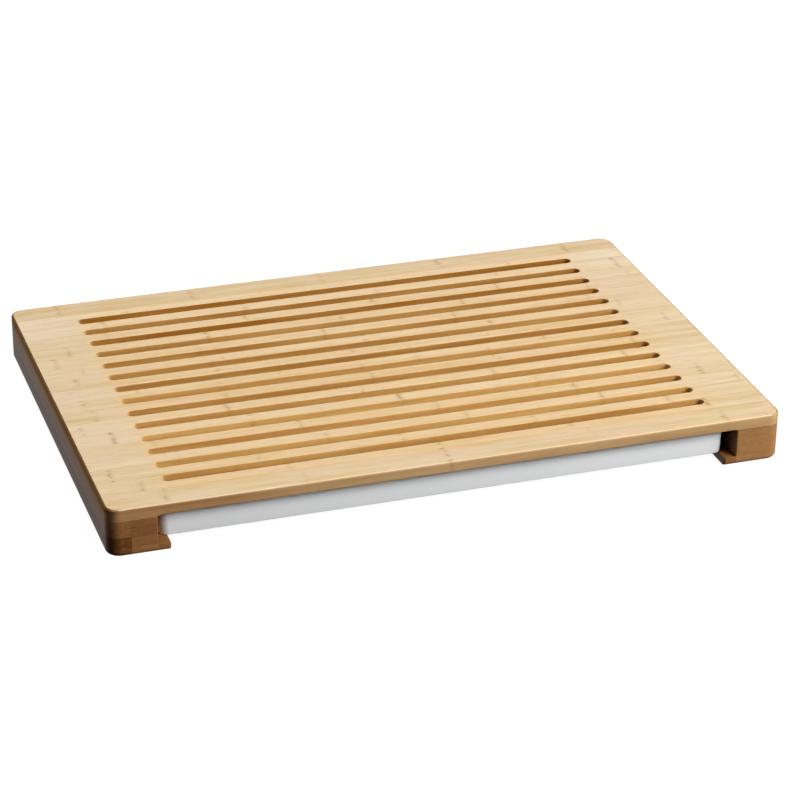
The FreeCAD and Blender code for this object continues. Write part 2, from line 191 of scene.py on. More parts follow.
def raise_outlines(outlines: NDArray, heights: NDArray) -> NDArray:
    """Gives plane outlines their heights.

    Args:
        outlines: (levels, points, 2).
        heights: (levels,).

    Returns:
        Rings of points in space, (levels, points, 3).
    """
    z = np.broadcast_to(heights[:, None, None], (*outlines.shape[:2], 1))
    return np.concatenate((outlines, z), axis=-1)


@dataclass
class Shell:
    """A closed surface that is put together from rings of points and flat faces between them."""

    points: list[NDArray] = field(default_factory=list)
    faces: list[NDArray] = field(default_factory=list)
    count: int = 0

    def wall(self, rings: NDArray, outward: bool = True) -> NDArray:
        """Adds a surface through a stack of closed rings, a grid over the way round and the way up.

        Args:
            rings: (levels, points, 3), anticlockwise seen from above, rising from level to level.
            outward: whether the faces point away from the middle of the rings.

        Returns:
            The numbers of the points, (levels, points).
        """
        levels, around = rings.shape[:2]
        numbers = self.count + np.arange(levels * around).reshape(levels, around)
        self.points.append(rings.reshape(-1, 3))
        self.count += levels * around
        after = np.roll(numbers, -1, axis=1)
        corners = (numbers[:-1], after[:-1], after[1:], numbers[1:])
        quads = np.stack(corners, axis=-1).reshape(-1, 4)
        self.faces.append(quads if outward else quads[:, ::-1])
        return numbers

    def flat(self, loops: Sequence[NDArray], up: bool) -> None:
        """Fills the level area between an outer loop of points and the holes inside it.

        A hole is convex, so the triangles whose three corners all lie on one hole are those that fill it.

        Args:
            loops: numbers of the points of each loop, the outer loop first and then the holes.
            up: whether the face points up.
        """
        numbers = np.concatenate(loops)
        places = np.concatenate(self.points)[numbers] / MM
        links = []
        start = 0
        for loop in loops:
            own = start + np.arange(len(loop))
            links += np.column_stack((own, np.roll(own, -1))).tolist()
            start += len(loop)
        plane = [Vector(place) for place in places[:, :2].tolist()]
        inside = 1
        _, _, triangles, origins, _, _ = delaunay_2d_cdt(plane, links, [], inside, 1e-7)
        source = np.array([own[0] for own in origins])[np.array(triangles)]
        owner = np.repeat(np.arange(len(loops)), [len(loop) for loop in loops])[source]
        in_hole = (owner[:, 0] > 0) & (owner[:, 0] == owner[:, 1]) & (owner[:, 0] == owner[:, 2])
        found = numbers[source[~in_hole]]
        self.faces.append(found if up else found[:, ::-1])

    def volume(self) -> float:
        """Volume that the surface encloses, from the tetrahedra between its triangles and the origin."""
        places = np.concatenate(self.points)
        total = 0.0
        for group in self.faces:
            for i in range(1, group.shape[1] - 1):
                a, b, c = (places[group[:, j]] for j in (0, i, i + 1))
                total += float(np.einsum("ij,ij->", a, np.cross(b, c))) / 6.0
        return total

    def to_object(self, name: str, material: bpy.types.Material) -> bpy.types.Object:
        """Makes the Blender object, smooth apart from its sharp edges.

        Args:
            name: the piece's name.
            material: its finish.

        Returns:
            The object, at the origin.
        """
        mesh = bpy.data.meshes.new(name)
        faces = [face for group in self.faces for face in group.tolist()]
        mesh.from_pydata(np.concatenate(self.points).tolist(), [], faces)
        mesh.shade_smooth()
        mesh.set_sharp_from_angle(angle=np.radians(38.0))
        mesh.materials.append(material)
        mesh.update()
        item = bpy.data.objects.new(name, mesh)
        bpy.context.scene.collection.objects.link(item)
        return item


def report(item: bpy.types.Object, shell: Shell) -> None:
    """Logs a finished piece with its triangles and its volume."""
    item.data.calc_loop_triangles()
    triangles = len(item.data.loop_triangles)
    log.info("%s: %d triangles, %.1f cm3", item.name, triangles, shell.volume() * 1e6)


def hand_over(item: bpy.types.Object, node: str, body: str) -> None:
    """Lets a finished piece stand for its CAD node, on its body."""
    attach(item, body)
    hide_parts(node)


@dataclass(frozen=True)
class PressedBamboo:
    """Bamboo panel, strips glued side by side and pressed, sanded and oiled.

    It gives the eye pale strips of slightly different tone, a fine grain of fibres along them, and at every
    hand's width of a strip the faint darker ring of a node. Its level arrises outside the slots carry a painted
    highlight. Milled edges along the strips are honey brown, partly the strips' own edge tone and partly painted
    shade, and the outer ones take more painted shade near the left corner. The strips' sawn ends are darker and
    duller, and the left end carries painted shade that deepens towards its upper arris. Slot ends that face
    right carry a painted highlight.
    """

    name: str
    left_edge: float
    first_joint: float = 140.0
    strip_width: float = 17.5
    node_spacing: float = 100.0
    pale: str = "e5d5b7"
    honey: str = "cbaa74"
    rosy: str = "ddc1a6"
    warm: str = "e6b978"
    ring: str = "9c713c"
    # Painted highlight: the pale colour given to the level arrises
    painted_highlight: str = "f0dcb8"
    # Milled edge tones: the strips' own edge tone, darkened by painted shade
    edge_light_shaded: str = "d0a86c"
    edge_dark_shaded: str = "9a662c"
    end_light: str = "c09153"
    end_dark: str = "7f592c"
    roughness: float = 0.65
    end_roughness: float = 0.75
    shine: float = 0.2
    # Strength of the painted shade on the outer milled edges near the left corner
    corner_shade: float = 0.5
    seed: float = 3.0

    # Each strip from the back to the front: depth of its face's tone, of its milled edge's tone, and where
    # its first node is, in millimetres from the left edge
    strips: tuple[tuple[float, float, float], ...] = (
        (0.95, 0.6, 34),
        (0.15, 0.95, 82),
        (0.2, 0.75, 66),
        (0.5, 1.0, 62),
        (0.65, 0.55, 28),
        (0.65, 0.65, 15),
        (0.6, 0.6, 34),
        (0.7, 0.55, 22),
        (0.5, 0.7, 60),
        (0.8, 0.25, 18),
        (0.85, 0.55, 21),
        (0.55, 0.5, 11),
        (0.45, 0.0, 28),
        (0.8, 0.35, 52),
        (0.55, 0.05, 66),
        (0.75, 0.2, 10),
        (0.85, 0.35, 32),
        (0.95, 0.25, 38),
    )

    def material(self) -> bpy.types.Material:
        """Builds the material; its patterns are set out in millimetres along the strips."""
        item = bpy.data.materials.new(self.name)
        item.use_nodes = True
        tree = item.node_tree
        tree.nodes.clear()
        count = len(self.strips)
        where = add_node(tree, "ShaderNodeTexCoord")
        place = add_node(
            tree, "ShaderNodeVectorMath", {"operation": "SCALE"}, {0: where.outputs["Object"], "Scale": 1 / MM}
        )
        axes = add_node(tree, "ShaderNodeSeparateXYZ", None, {0: place})

        # Strips: counted from the joint behind the first slots, and the outer ones reach out to the edges
        strips = add_node(
            tree,
            "ShaderNodeMath",
            {"operation": "MULTIPLY_ADD"},
            {0: axes.outputs["Y"], 1: -1 / self.strip_width, 2: self.first_joint / self.strip_width + 1},
        )
        whole = add_node(tree, "ShaderNodeMath", {"operation": "FLOOR"}, {0: strips})
        most = add_node(tree, "ShaderNodeMath", {"operation": "MINIMUM"}, {0: whole, 1: count - 1})
        strip = add_node(tree, "ShaderNodeMath", {"operation": "MAXIMUM"}, {0: most, 1: 0})
        turn = add_node(
            tree, "ShaderNodeMath", {"operation": "MULTIPLY_ADD"}, {0: strip, 1: 1 / count, 2: 0.5 / count}
        )
        table = add_node(tree, "ShaderNodeValToRGB", None, {"Fac": turn})
        table.color_ramp.interpolation = "CONSTANT"
        for number, (face_tone, edge_tone, first_node) in enumerate(self.strips):
            stop = table.color_ramp.elements[0] if number == 0 else table.color_ramp.elements.new(number / count)
            stop.color = (face_tone, edge_tone, first_node / self.node_spacing, 1.0)
        table.color_ramp.elements.remove(table.color_ramp.elements[-1])
        lots = add_node(tree, "ShaderNodeSeparateColor", None, {0: table})

        # Each strip has its own stretch of every noise
        apart = add_node(tree, "ShaderNodeMath", {"operation": "MULTIPLY_ADD"}, {0: strip, 1: 31.7, 2: self.seed})
        shift = add_node(tree, "ShaderNodeCombineXYZ", None, {"X": apart, "Z": apart})
        own = add_node(tree, "ShaderNodeVectorMath", {"operation": "ADD"}, {0: place, 1: shift})

        # Broad streaks of tone, 100 mm long and 6 mm wide, and rosy patches
        streak_place = add_node(
            tree, "ShaderNodeVectorMath", {"operation": "MULTIPLY"}, {0: own, 1: (0.01, 0.16, 0.16)}
        )
        streaks = add_node(tree, "ShaderNodeTexNoise", None, {"Vector": streak_place, "Scale": 1.0, "Detail": 3.0})
        patch_place = add_node(
            tree, "ShaderNodeVectorMath", {"operation": "MULTIPLY"}, {0: own, 1: (0.02, 0.07, 0.07)}
        )
        patches = add_node(tree, "ShaderNodeTexNoise", None, {"Vector": patch_place, "Scale": 1.0, "Detail": 1.0})

        # Fibres: real bundles are 0.3 mm thick, drawn 0.9 mm thick and 15 mm long so that they show
        fibre_place = add_node(
            tree, "ShaderNodeVectorMath", {"operation": "MULTIPLY"}, {0: own, 1: (0.065, 1.1, 1.1)}
        )
        fibres = add_node(tree, "ShaderNodeTexNoise", None, {"Vector": fibre_place, "Scale": 1.0, "Detail": 3.0})
        dashes = add_node(
            tree,
            "ShaderNodeMapRange",
            {"interpolation_type": "SMOOTHSTEP"},
            {"Value": fibres.outputs["Fac"], "From Min": 0.56, "From Max": 0.72, "To Max": 0.3},
        )

        # Nodes: how far the nearest one is, and what chance gives it
        along = add_node(
            tree,
            "ShaderNodeMath",
            {"operation": "MULTIPLY_ADD"},
            {0: axes.outputs["X"], 1: 1 / self.node_spacing, 2: -self.left_edge / self.node_spacing},
        )
        spans = add_node(tree, "ShaderNodeMath", {"operation": "SUBTRACT"}, {0: along, 1: lots.outputs[2]})
        span = add_node(tree, "ShaderNodeMath", {"operation": "ROUND"}, {0: spans})
        pair = add_node(tree, "ShaderNodeCombineXYZ", None, {"X": strip, "Y": span, "Z": self.seed})
        chance = add_node(tree, "ShaderNodeTexWhiteNoise", {"noise_dimensions": "3D"}, {"Vector": pair})
        luck = add_node(tree, "ShaderNodeSeparateColor", None, {0: chance.outputs["Color"]})
        strength = add_node(
            tree, "ShaderNodeMapRange", None, {"Value": luck.outputs[0], "To Min": 0.3, "To Max": 1.0}
        )
        jitter = add_node(
            tree, "ShaderNodeMapRange", None, {"Value": luck.outputs[1], "To Min": -4.0, "To Max": 4.0}
        )
        off = add_node(tree, "ShaderNodeMath", {"operation": "SUBTRACT"}, {0: spans, 1: span})
        off_mm = add_node(
            tree, "ShaderNodeMath", {"operation": "MULTIPLY_ADD"}, {0: off, 1: self.node_spacing, 2: jitter}
        )
        bend_place = add_node(
            tree, "ShaderNodeVectorMath", {"operation": "MULTIPLY"}, {0: own, 1: (0.04, 0.2, 0.2)}
        )
        bend = add_node(tree, "ShaderNodeTexNoise", None, {"Vector": bend_place, "Scale": 1.0, "Detail": 3.0})
        bend_mm = add_node(
            tree,
            "ShaderNodeMapRange",
            {"clamp": False},
            {"Value": bend.outputs["Fac"], "From Min": 0.3, "From Max": 0.7, "To Min": -1.6, "To Max": 1.6},
        )
        ring_off = add_node(tree, "ShaderNodeMath", {"operation": "ADD"}, {0: off_mm, 1: bend_mm})
        ring_far = add_node(tree, "ShaderNodeMath", {"operation": "ABSOLUTE"}, {0: ring_off})
        halo = add_node(
            tree,
            "ShaderNodeMapRange",
            {"interpolation_type": "SMOOTHSTEP"},
            {"Value": ring_far, "From Min": 4.5, "From Max": 0.0, "To Min": 0.0, "To Max": 0.3},
        )
        core = add_node(
            tree,
            "ShaderNodeMapRange",
            {"interpolation_type": "SMOOTHSTEP"},
            {"Value": ring_far, "From Min": 1.6, "From Max": 0.2, "To Min": 0.0, "To Max": 0.3},
        )
        both = add_node(tree, "ShaderNodeMath", {"operation": "ADD"}, {0: halo, 1: core})
        uneven = add_node(
            tree,
            "ShaderNodeMapRange",
            None,
            {"Value": bend.outputs["Fac"], "From Min": 0.42, "From Max": 0.58, "To Min": 0.1, "To Max": 1.0},
        )
        some = add_node(tree, "ShaderNodeMath", {"operation": "MULTIPLY"}, {0: both, 1: uneven})
        knot = add_node(tree, "ShaderNodeMath", {"operation": "MULTIPLY"}, {0: some, 1: strength})

        # Glue joints: a hair line between two strips, drawn 0.5 mm thick and broken by the streaks
        joint = add_node(tree, "ShaderNodeMath", {"operation": "PINGPONG"}, {0: strips, 1: 0.5})
        hair = add_node(
            tree,
            "ShaderNodeMapRange",
            {"interpolation_type": "SMOOTHSTEP"},
            {"Value": joint, "From Min": 0.035, "From Max": 0.005, "To Min": 0.0, "To Max": 1.0},
        )
        from_middle = add_node(tree, "ShaderNodeMath", {"operation": "ABSOLUTE"}, {0: axes.outputs["Y"]})
        inside = add_node(
            tree, "ShaderNodeMath", {"operation": "LESS_THAN"}, {0: from_middle, 1: self.first_joint + 2}
        )
        gaps = add_node(
            tree,
            "ShaderNodeMapRange",
            None,
            {"Value": streaks.outputs["Fac"], "From Min": 0.45, "From Max": 0.6, "To Max": 0.3},
        )
        hair_inside = add_node(tree, "ShaderNodeMath", {"operation": "MULTIPLY"}, {0: hair, 1: inside})
        line = add_node(tree, "ShaderNodeMath", {"operation": "MULTIPLY"}, {0: hair_inside, 1: gaps})

        # Face: the strip's tone with its streaks, then patches, a warmer tone among the slots, nodes, fibres
        # and joints
        tone = add_node(
            tree,
            "ShaderNodeMath",
            {"operation": "MULTIPLY_ADD"},
            {0: streaks.outputs["Fac"], 1: 1.1, 2: -0.4},
        )
        face_tone = add_node(
            tree,
            "ShaderNodeMath",
            {"operation": "MULTIPLY_ADD", "use_clamp": True},
            {0: lots.outputs[0], 1: 0.55, 2: tone},
        )
        face = add_node(
            tree,
            "ShaderNodeMix",
            {"data_type": "RGBA"},
            {"Factor": face_tone, 6: linear(self.pale), 7: linear(self.honey)},
        )
        rosy = add_node(
            tree,
            "ShaderNodeMapRange",
            None,
            {"Value": patches.outputs["Fac"], "From Min": 0.45, "From Max": 0.65, "To Max": 0.5},
        )
        face_rosy = add_node(
            tree, "ShaderNodeMix", {"data_type": "RGBA"}, {"Factor": rosy, 6: face.outputs[2], 7: linear(self.rosy)}
        )
        from_centre = add_node(tree, "ShaderNodeMath", {"operation": "ABSOLUTE"}, {0: axes.outputs["X"]})
        between = add_node(
            tree,
            "ShaderNodeMapRange",
            {"interpolation_type": "SMOOTHSTEP"},
            {
                "Value": from_centre,
                "From Min": -self.left_edge - 30,
                "From Max": -self.left_edge - 55,
                "To Min": 0.0,
                "To Max": 0.3,
            },
        )
        among_slots = add_node(tree, "ShaderNodeMath", {"operation": "MULTIPLY"}, {0: between, 1: inside})
        face_warm = add_node(
            tree,
            "ShaderNodeMix",
            {"data_type": "RGBA"},
            {"Factor": among_slots, 6: face_rosy.outputs[2], 7: linear(self.warm)},
        )
        knot_or_line = add_node(tree, "ShaderNodeMath", {"operation": "ADD"}, {0: knot, 1: line})
        marks = add_node(
            tree, "ShaderNodeMath", {"operation": "ADD", "use_clamp": True}, {0: knot_or_line, 1: dashes}
        )
        face_marks = add_node(
            tree,
            "ShaderNodeMix",
            {"data_type": "RGBA"},
            {"Factor": marks, 6: face_warm.outputs[2], 7: linear(self.ring)},
        )

        # Milled edges along the strips, and sawn ends, where the surface turns away from level; the milled tone is
        # partly painted shade. The outer edges take more painted shade near the left corner, and the left end takes
        # painted shade that deepens towards its upper arris
        # Painted shade: the outer milled edges darken near the left corner
        corner = add_node(
            tree,
            "ShaderNodeMapRange",
            {"interpolation_type": "SMOOTHSTEP"},
            {
                "Value": axes.outputs["X"],
                "From Min": self.left_edge + 165,
                "From Max": self.left_edge + 75,
                "To Min": 0.0,
                "To Max": self.corner_shade,
            },
        )
        outside = add_node(tree, "ShaderNodeMath", {"operation": "SUBTRACT"}, {0: 1.0, 1: inside})
        corner_shade_outside = add_node(tree, "ShaderNodeMath", {"operation": "MULTIPLY"}, {0: corner, 1: outside})
        edge_base = add_node(tree, "ShaderNodeMath", {"operation": "ADD"}, {0: tone, 1: corner_shade_outside})
        edge_tone = add_node(
            tree,
            "ShaderNodeMath",
            {"operation": "MULTIPLY_ADD", "use_clamp": True},
            {0: lots.outputs[1], 1: 0.8, 2: edge_base},
        )
        edge = add_node(
            tree,
            "ShaderNodeMix",
            {"data_type": "RGBA"},
            {"Factor": edge_tone, 6: linear(self.edge_light_shaded), 7: linear(self.edge_dark_shaded)},
        )
        edge_fade = add_node(tree, "ShaderNodeMath", {"operation": "MULTIPLY"}, {0: marks, 1: 0.6})
        edge_marks = add_node(
            tree,
            "ShaderNodeMix",
            {"data_type": "RGBA"},
            {"Factor": edge_fade, 6: edge.outputs[2], 7: linear(self.edge_dark_shaded)},
        )
        pores = add_node(
            tree, "ShaderNodeTexNoise", None, {"Vector": place, "Scale": 1.1, "Detail": 2.0}
        )
        # Painted shade: the left end darkens towards its upper arris
        shade_towards_top = add_node(
            tree,
            "ShaderNodeMapRange",
            {"interpolation_type": "SMOOTHSTEP"},
            {"Value": axes.outputs["Z"], "From Min": 29.0, "From Max": 33.5, "To Min": -0.05, "To Max": 0.8},
        )
        turned = add_node(tree, "ShaderNodeSeparateXYZ", None, {0: where.outputs["Normal"]})
        left_end = add_node(
            tree,
            "ShaderNodeMapRange",
            {"interpolation_type": "SMOOTHSTEP"},
            {"Value": turned.outputs["X"], "From Min": 0.1, "From Max": -0.1, "To Min": 0.0, "To Max": 1.0},
        )
        left_end_shade = add_node(tree, "ShaderNodeMath", {"operation": "MULTIPLY"}, {0: shade_towards_top, 1: left_end})
        end_tone = add_node(
            tree,
            "ShaderNodeMath",
            {"operation": "MULTIPLY_ADD", "use_clamp": True},
            {0: pores.outputs["Fac"], 1: 0.8, 2: left_end_shade},
        )
        end = add_node(
            tree,
            "ShaderNodeMix",
            {"data_type": "RGBA"},
            {"Factor": end_tone, 6: linear(self.end_light), 7: linear(self.end_dark)},
        )
        level = add_node(tree, "ShaderNodeMath", {"operation": "ABSOLUTE"}, {0: turned.outputs["Z"]})
        outer = add_node(
            tree, "ShaderNodeMath", {"operation": "GREATER_THAN"}, {0: from_centre, 1: -self.left_edge - 20}
        )
        not_outer = add_node(tree, "ShaderNodeMath", {"operation": "SUBTRACT"}, {0: 1.0, 1: outer})
        in_slots = add_node(tree, "ShaderNodeMath", {"operation": "MULTIPLY"}, {0: inside, 1: not_outer})
        begin = add_node(
            tree, "ShaderNodeMath", {"operation": "MULTIPLY_ADD"}, {0: in_slots, 1: 0.09, 2: 0.9}
        )
        finish = add_node(
            tree, "ShaderNodeMath", {"operation": "MULTIPLY_ADD"}, {0: in_slots, 1: 0.25, 2: 0.5}
        )
        # Where the surface turns away from level it takes the milled tone, which is partly painted shade
        milled = add_node(
            tree,
            "ShaderNodeMapRange",
            {"interpolation_type": "SMOOTHSTEP"},
            {"Value": level, "From Min": begin, "From Max": finish, "To Min": 0.0, "To Max": 1.0},
        )
        gold = add_node(
            tree, "ShaderNodeMath", {"operation": "MULTIPLY_ADD"}, {0: in_slots, 1: 0.16, 2: 0.9}
        )
        milled_colour = add_node(
            tree, "ShaderNodeHueSaturation", None, {"Color": edge_marks.outputs[2], "Saturation": gold}
        )
        facing_side = add_node(tree, "ShaderNodeMath", {"operation": "ABSOLUTE"}, {0: turned.outputs["X"]})
        # Painted highlight: slot ends that face right, towards the front right lamp, are mixed towards the pale
        # face colour
        slot_side = add_node(
            tree, "ShaderNodeMath", {"operation": "MULTIPLY"}, {0: turned.outputs["X"], 1: in_slots}
        )
        slot_end_highlight = add_node(
            tree,
            "ShaderNodeMapRange",
            {"interpolation_type": "SMOOTHSTEP"},
            {"Value": slot_side, "From Min": 0.3, "From Max": 0.9, "To Min": 0.0, "To Max": 0.4},
        )
        slot_highlit_colour = add_node(
            tree,
            "ShaderNodeMix",
            {"data_type": "RGBA"},
            {"Factor": slot_end_highlight, 6: milled_colour, 7: linear(self.pale)},
        )
        across = add_node(tree, "ShaderNodeMath", {"operation": "MULTIPLY"}, {0: facing_side, 1: outer})
        end_begins = add_node(
            tree,
            "ShaderNodeMapRange",
            {"interpolation_type": "SMOOTHSTEP"},
            {"Value": across, "From Min": 0.03, "From Max": 0.15, "To Min": 0.0, "To Max": 1.0},
        )
        cut = add_node(tree, "ShaderNodeMath", {"operation": "MAXIMUM"}, {0: milled, 1: end_begins})
        level_part = add_node(tree, "ShaderNodeMath", {"operation": "MULTIPLY"}, {0: level, 1: level})
        flat_part = add_node(tree, "ShaderNodeMath", {"operation": "SUBTRACT"}, {0: 1.0, 1: level_part})
        flat = add_node(tree, "ShaderNodeMath", {"operation": "SQRT"}, {0: flat_part})
        in_plan = add_node(tree, "ShaderNodeMath", {"operation": "DIVIDE"}, {0: across, 1: flat})
        sawn = add_node(
            tree,
            "ShaderNodeMapRange",
            {"interpolation_type": "SMOOTHSTEP"},
            {"Value": in_plan, "From Min": 0.6, "From Max": 0.9, "To Min": 0.0, "To Max": 1.0},
        )
        edges = add_node(
            tree,
            "ShaderNodeMix",
            {"data_type": "RGBA"},
            {"Factor": sawn, 6: slot_highlit_colour.outputs[2], 7: end.outputs[2]},
        )
        # Painted highlight: the level arrises outside the slots are mixed towards a pale colour
        highlight_strength = add_node(
            tree, "ShaderNodeMath", {"operation": "MULTIPLY_ADD"}, {0: in_slots, 1: -0.45, 2: 0.45}
        )
        arris = add_node(
            tree,
            "ShaderNodeMapRange",
            {"interpolation_type": "SMOOTHSTEP"},
            {"Value": level, "From Min": 0.998, "From Max": 0.97, "To Min": 0.0, "To Max": highlight_strength},
        )
        face_highlight = add_node(
            tree,
            "ShaderNodeMix",
            {"data_type": "RGBA"},
            {"Factor": arris, 6: face_marks.outputs[2], 7: linear(self.painted_highlight)},
        )
        colour = add_node(
            tree,
            "ShaderNodeMix",
            {"data_type": "RGBA"},
            {"Factor": cut, 6: face_highlight.outputs[2], 7: edges.outputs[2]},
        )
        dull = add_node(
            tree,
            "ShaderNodeMapRange",
            None,
            {"Value": sawn, "To Min": self.roughness, "To Max": self.end_roughness},
        )
        bump = add_node(
            tree,
            "ShaderNodeBump",
            None,
            {"Strength": 0.3, "Distance": 0.05 * MM, "Height": fibres.outputs["Fac"]},
        )
        surface = add_node(
            tree,
            "ShaderNodeBsdfPrincipled",
            None,
            {
                "Base Color": colour.outputs[2],
                "Roughness": dull,
                "IOR": 1.5,
                "Specular IOR Level": self.shine,
                "Normal": bump,
            },
        )
        add_node(tree, "ShaderNodeOutputMaterial", None, {"Surface": surface})
        return item


class Grain(Enum):
    """The axis that a block's strips run along."""

    X = 0
    Y = 1

    def stretch(self, fine: float, long: float) -> tuple[float, float, float]:
        """Factors for a noise that is fine across the strips and long along them."""
        return (long, fine, fine) if self is Grain.X else (fine, long, fine)


@dataclass(frozen=True)
class LaminatedBamboo:
    """Block of bamboo strips glued in two columns of layers, steamed to a caramel brown, sanded and oiled.

    It gives the eye a brown block with satin long sides. Its ends show the glued strips as small fields of
    slightly different brown, and inside each the pale dots of the cut fibre bundles.
    """

    name: str
    grain: Grain
    outer: float
    sign: int
    light: str = "a8794a"
    dark: str = "5e310e"
    column: float = 15.8
    layer: float = 6.9
    joints: float = 0.15
    # Tone of the line under the panel: above zero a darker glue line, below zero a paler painted highlight
    glue_and_highlight: float = 0.0
    roughness: float = 0.36
    end_roughness: float = 0.55
    shine: float = 0.2

    # Depth of each strip's tone: the outer column from the foot up, then the inner one
    strips: tuple[float, ...] = (0.45, 0.5, 0.4, 0.5, 0.4, 0.45, 0.5, 0.45)

    def material(self) -> bpy.types.Material:
        """Builds the material; columns and layers are set out in millimetres across the block."""
        item = bpy.data.materials.new(self.name)
        item.use_nodes = True
        tree = item.node_tree
        tree.nodes.clear()
        across, along = ("X", "Y") if self.grain is Grain.Y else ("Y", "X")
        where = add_node(tree, "ShaderNodeTexCoord")
        place = add_node(
            tree, "ShaderNodeVectorMath", {"operation": "SCALE"}, {0: where.outputs["Object"], "Scale": 1 / MM}
        )
        axes = add_node(tree, "ShaderNodeSeparateXYZ", None, {0: place})

        # Which strip of the block: the column inwards from the outer side, and the layer up from the foot
        inward = add_node(
            tree,
            "ShaderNodeMath",
            {"operation": "MULTIPLY_ADD"},
            {0: axes.outputs[across], 1: -self.sign / self.column, 2: self.sign * self.outer / self.column},
        )
        column = add_node(tree, "ShaderNodeMath", {"operation": "GREATER_THAN"}, {0: inward, 1: 1.0})
        layers = add_node(
            tree, "ShaderNodeMath", {"operation": "DIVIDE"}, {0: axes.outputs["Z"], 1: self.layer}
        )
        layer = add_node(tree, "ShaderNodeMath", {"operation": "FLOOR"}, {0: layers})
        number = add_node(
            tree, "ShaderNodeMath", {"operation": "MULTIPLY_ADD"}, {0: column, 1: 4.0, 2: layer}
        )
        count = len(self.strips)
        turn = add_node(
            tree, "ShaderNodeMath", {"operation": "MULTIPLY_ADD"}, {0: number, 1: 1 / count, 2: 0.5 / count}
        )
        table = add_node(tree, "ShaderNodeValToRGB", None, {"Fac": turn})
        table.color_ramp.interpolation = "CONSTANT"
        for i, depth in enumerate(self.strips):
            stop = table.color_ramp.elements[0] if i == 0 else table.color_ramp.elements.new(i / count)
            stop.color = (depth, depth, depth, 1.0)
        table.color_ramp.elements.remove(table.color_ramp.elements[-1])

        # Streaks 50 mm long and 1 mm thick along the strips, and dots 0.8 mm across on the cut ends
        streak_place = add_node(
            tree, "ShaderNodeVectorMath", {"operation": "MULTIPLY"}, {0: place, 1: self.grain.stretch(1.0, 0.02)}
        )
        streaks = add_node(tree, "ShaderNodeTexNoise", None, {"Vector": streak_place, "Scale": 1.0, "Detail": 3.0})
        flake_place = add_node(
            tree, "ShaderNodeVectorMath", {"operation": "MULTIPLY"}, {0: place, 1: (0.25, 0.25, 1.1)}
        )
        flakes = add_node(tree, "ShaderNodeTexNoise", None, {"Vector": flake_place, "Scale": 1.0, "Detail": 3.0})
        dots = add_node(tree, "ShaderNodeTexNoise", None, {"Vector": place, "Scale": 1.25, "Detail": 1.0})

        # Joints between the strips: hair lines, drawn 0.4 mm thick; the line under the panel is drawn 0.5 mm,
        # darker as a glue line and, when its setting is below zero, paler as a painted highlight
        joint_up = add_node(tree, "ShaderNodeMath", {"operation": "PINGPONG"}, {0: layers, 1: 0.5})
        joint_in = add_node(tree, "ShaderNodeMath", {"operation": "SUBTRACT"}, {0: inward, 1: 1.0})
        joint_in_far = add_node(tree, "ShaderNodeMath", {"operation": "ABSOLUTE"}, {0: joint_in})
        hair_up = add_node(
            tree,
            "ShaderNodeMapRange",
            None,
            {"Value": joint_up, "From Min": 0.05, "From Max": 0.01, "To Min": 0.0, "To Max": self.joints},
        )
        hair_in = add_node(
            tree,
            "ShaderNodeMapRange",
            None,
            {"Value": joint_in_far, "From Min": 0.02, "From Max": 0.004, "To Min": 0.0, "To Max": self.joints},
        )
        hair = add_node(tree, "ShaderNodeMath", {"operation": "MAXIMUM"}, {0: hair_up, 1: hair_in})

        # Ends: where the surface turns along the strips
        turned = add_node(tree, "ShaderNodeSeparateXYZ", None, {0: where.outputs["Normal"]})
        facing = add_node(tree, "ShaderNodeMath", {"operation": "ABSOLUTE"}, {0: turned.outputs[along]})
        end = add_node(
            tree,
            "ShaderNodeMapRange",
            {"interpolation_type": "SMOOTHSTEP"},
            {"Value": facing, "From Min": 0.6, "From Max": 0.85, "To Min": 0.0, "To Max": 1.0},
        )
        side_tone = add_node(
            tree,
            "ShaderNodeMath",
            {"operation": "MULTIPLY_ADD"},
            {0: streaks.outputs["Fac"], 1: 0.7, 2: -0.25},
        )
        flake_tone = add_node(
            tree,
            "ShaderNodeMath",
            {"operation": "MULTIPLY_ADD"},
            {0: flakes.outputs["Fac"], 1: 0.7, 2: -0.43},
        )
        end_tone = add_node(
            tree,
            "ShaderNodeMath",
            {"operation": "MULTIPLY_ADD"},
            {0: dots.outputs["Fac"], 1: 0.2, 2: flake_tone},
        )
        fine = add_node(
            tree, "ShaderNodeMix", {"data_type": "FLOAT"}, {"Factor": end, 2: side_tone, 3: end_tone}
        )
        # The line under the panel: a dark glue line, and with a setting below zero a pale painted highlight
        under_panel = add_node(
            tree,
            "ShaderNodeMapRange",
            None,
            {"Value": axes.outputs["Z"], "From Min": 25.9, "From Max": 26.2, "To Min": 0.0, "To Max": self.glue_and_highlight},
        )
        joints_and_seam_line = add_node(tree, "ShaderNodeMath", {"operation": "ADD"}, {0: hair, 1: under_panel})
        with_joints = add_node(tree, "ShaderNodeMath", {"operation": "ADD"}, {0: fine, 1: joints_and_seam_line})
        tone = add_node(
            tree, "ShaderNodeMath", {"operation": "ADD", "use_clamp": True}, {0: table, 1: with_joints}
        )
        colour = add_node(
            tree,
            "ShaderNodeMix",
            {"data_type": "RGBA"},
            {"Factor": tone, 6: linear(self.light), 7: linear(self.dark)},
        )
        gloss = add_node(
            tree,
            "ShaderNodeMapRange",
            None,
            {"Value": end, "To Min": self.roughness, "To Max": self.end_roughness},
        )
        bump = add_node(
            tree,
            "ShaderNodeBump",
            None,
            {"Strength": 0.25, "Distance": 0.05 * MM, "Height": streaks.outputs["Fac"]},
        )
        surface = add_node(
            tree,
            "ShaderNodeBsdfPrincipled",
            None,
            {
                "Base Color": colour.outputs[2],
                "Roughness": gloss,
                "IOR": 1.5,
                "Specular IOR Level": self.shine,
                "Normal": bump,
            },
        )
        add_node(tree, "ShaderNodeOutputMaterial", None, {"Surface": surface})
        return item


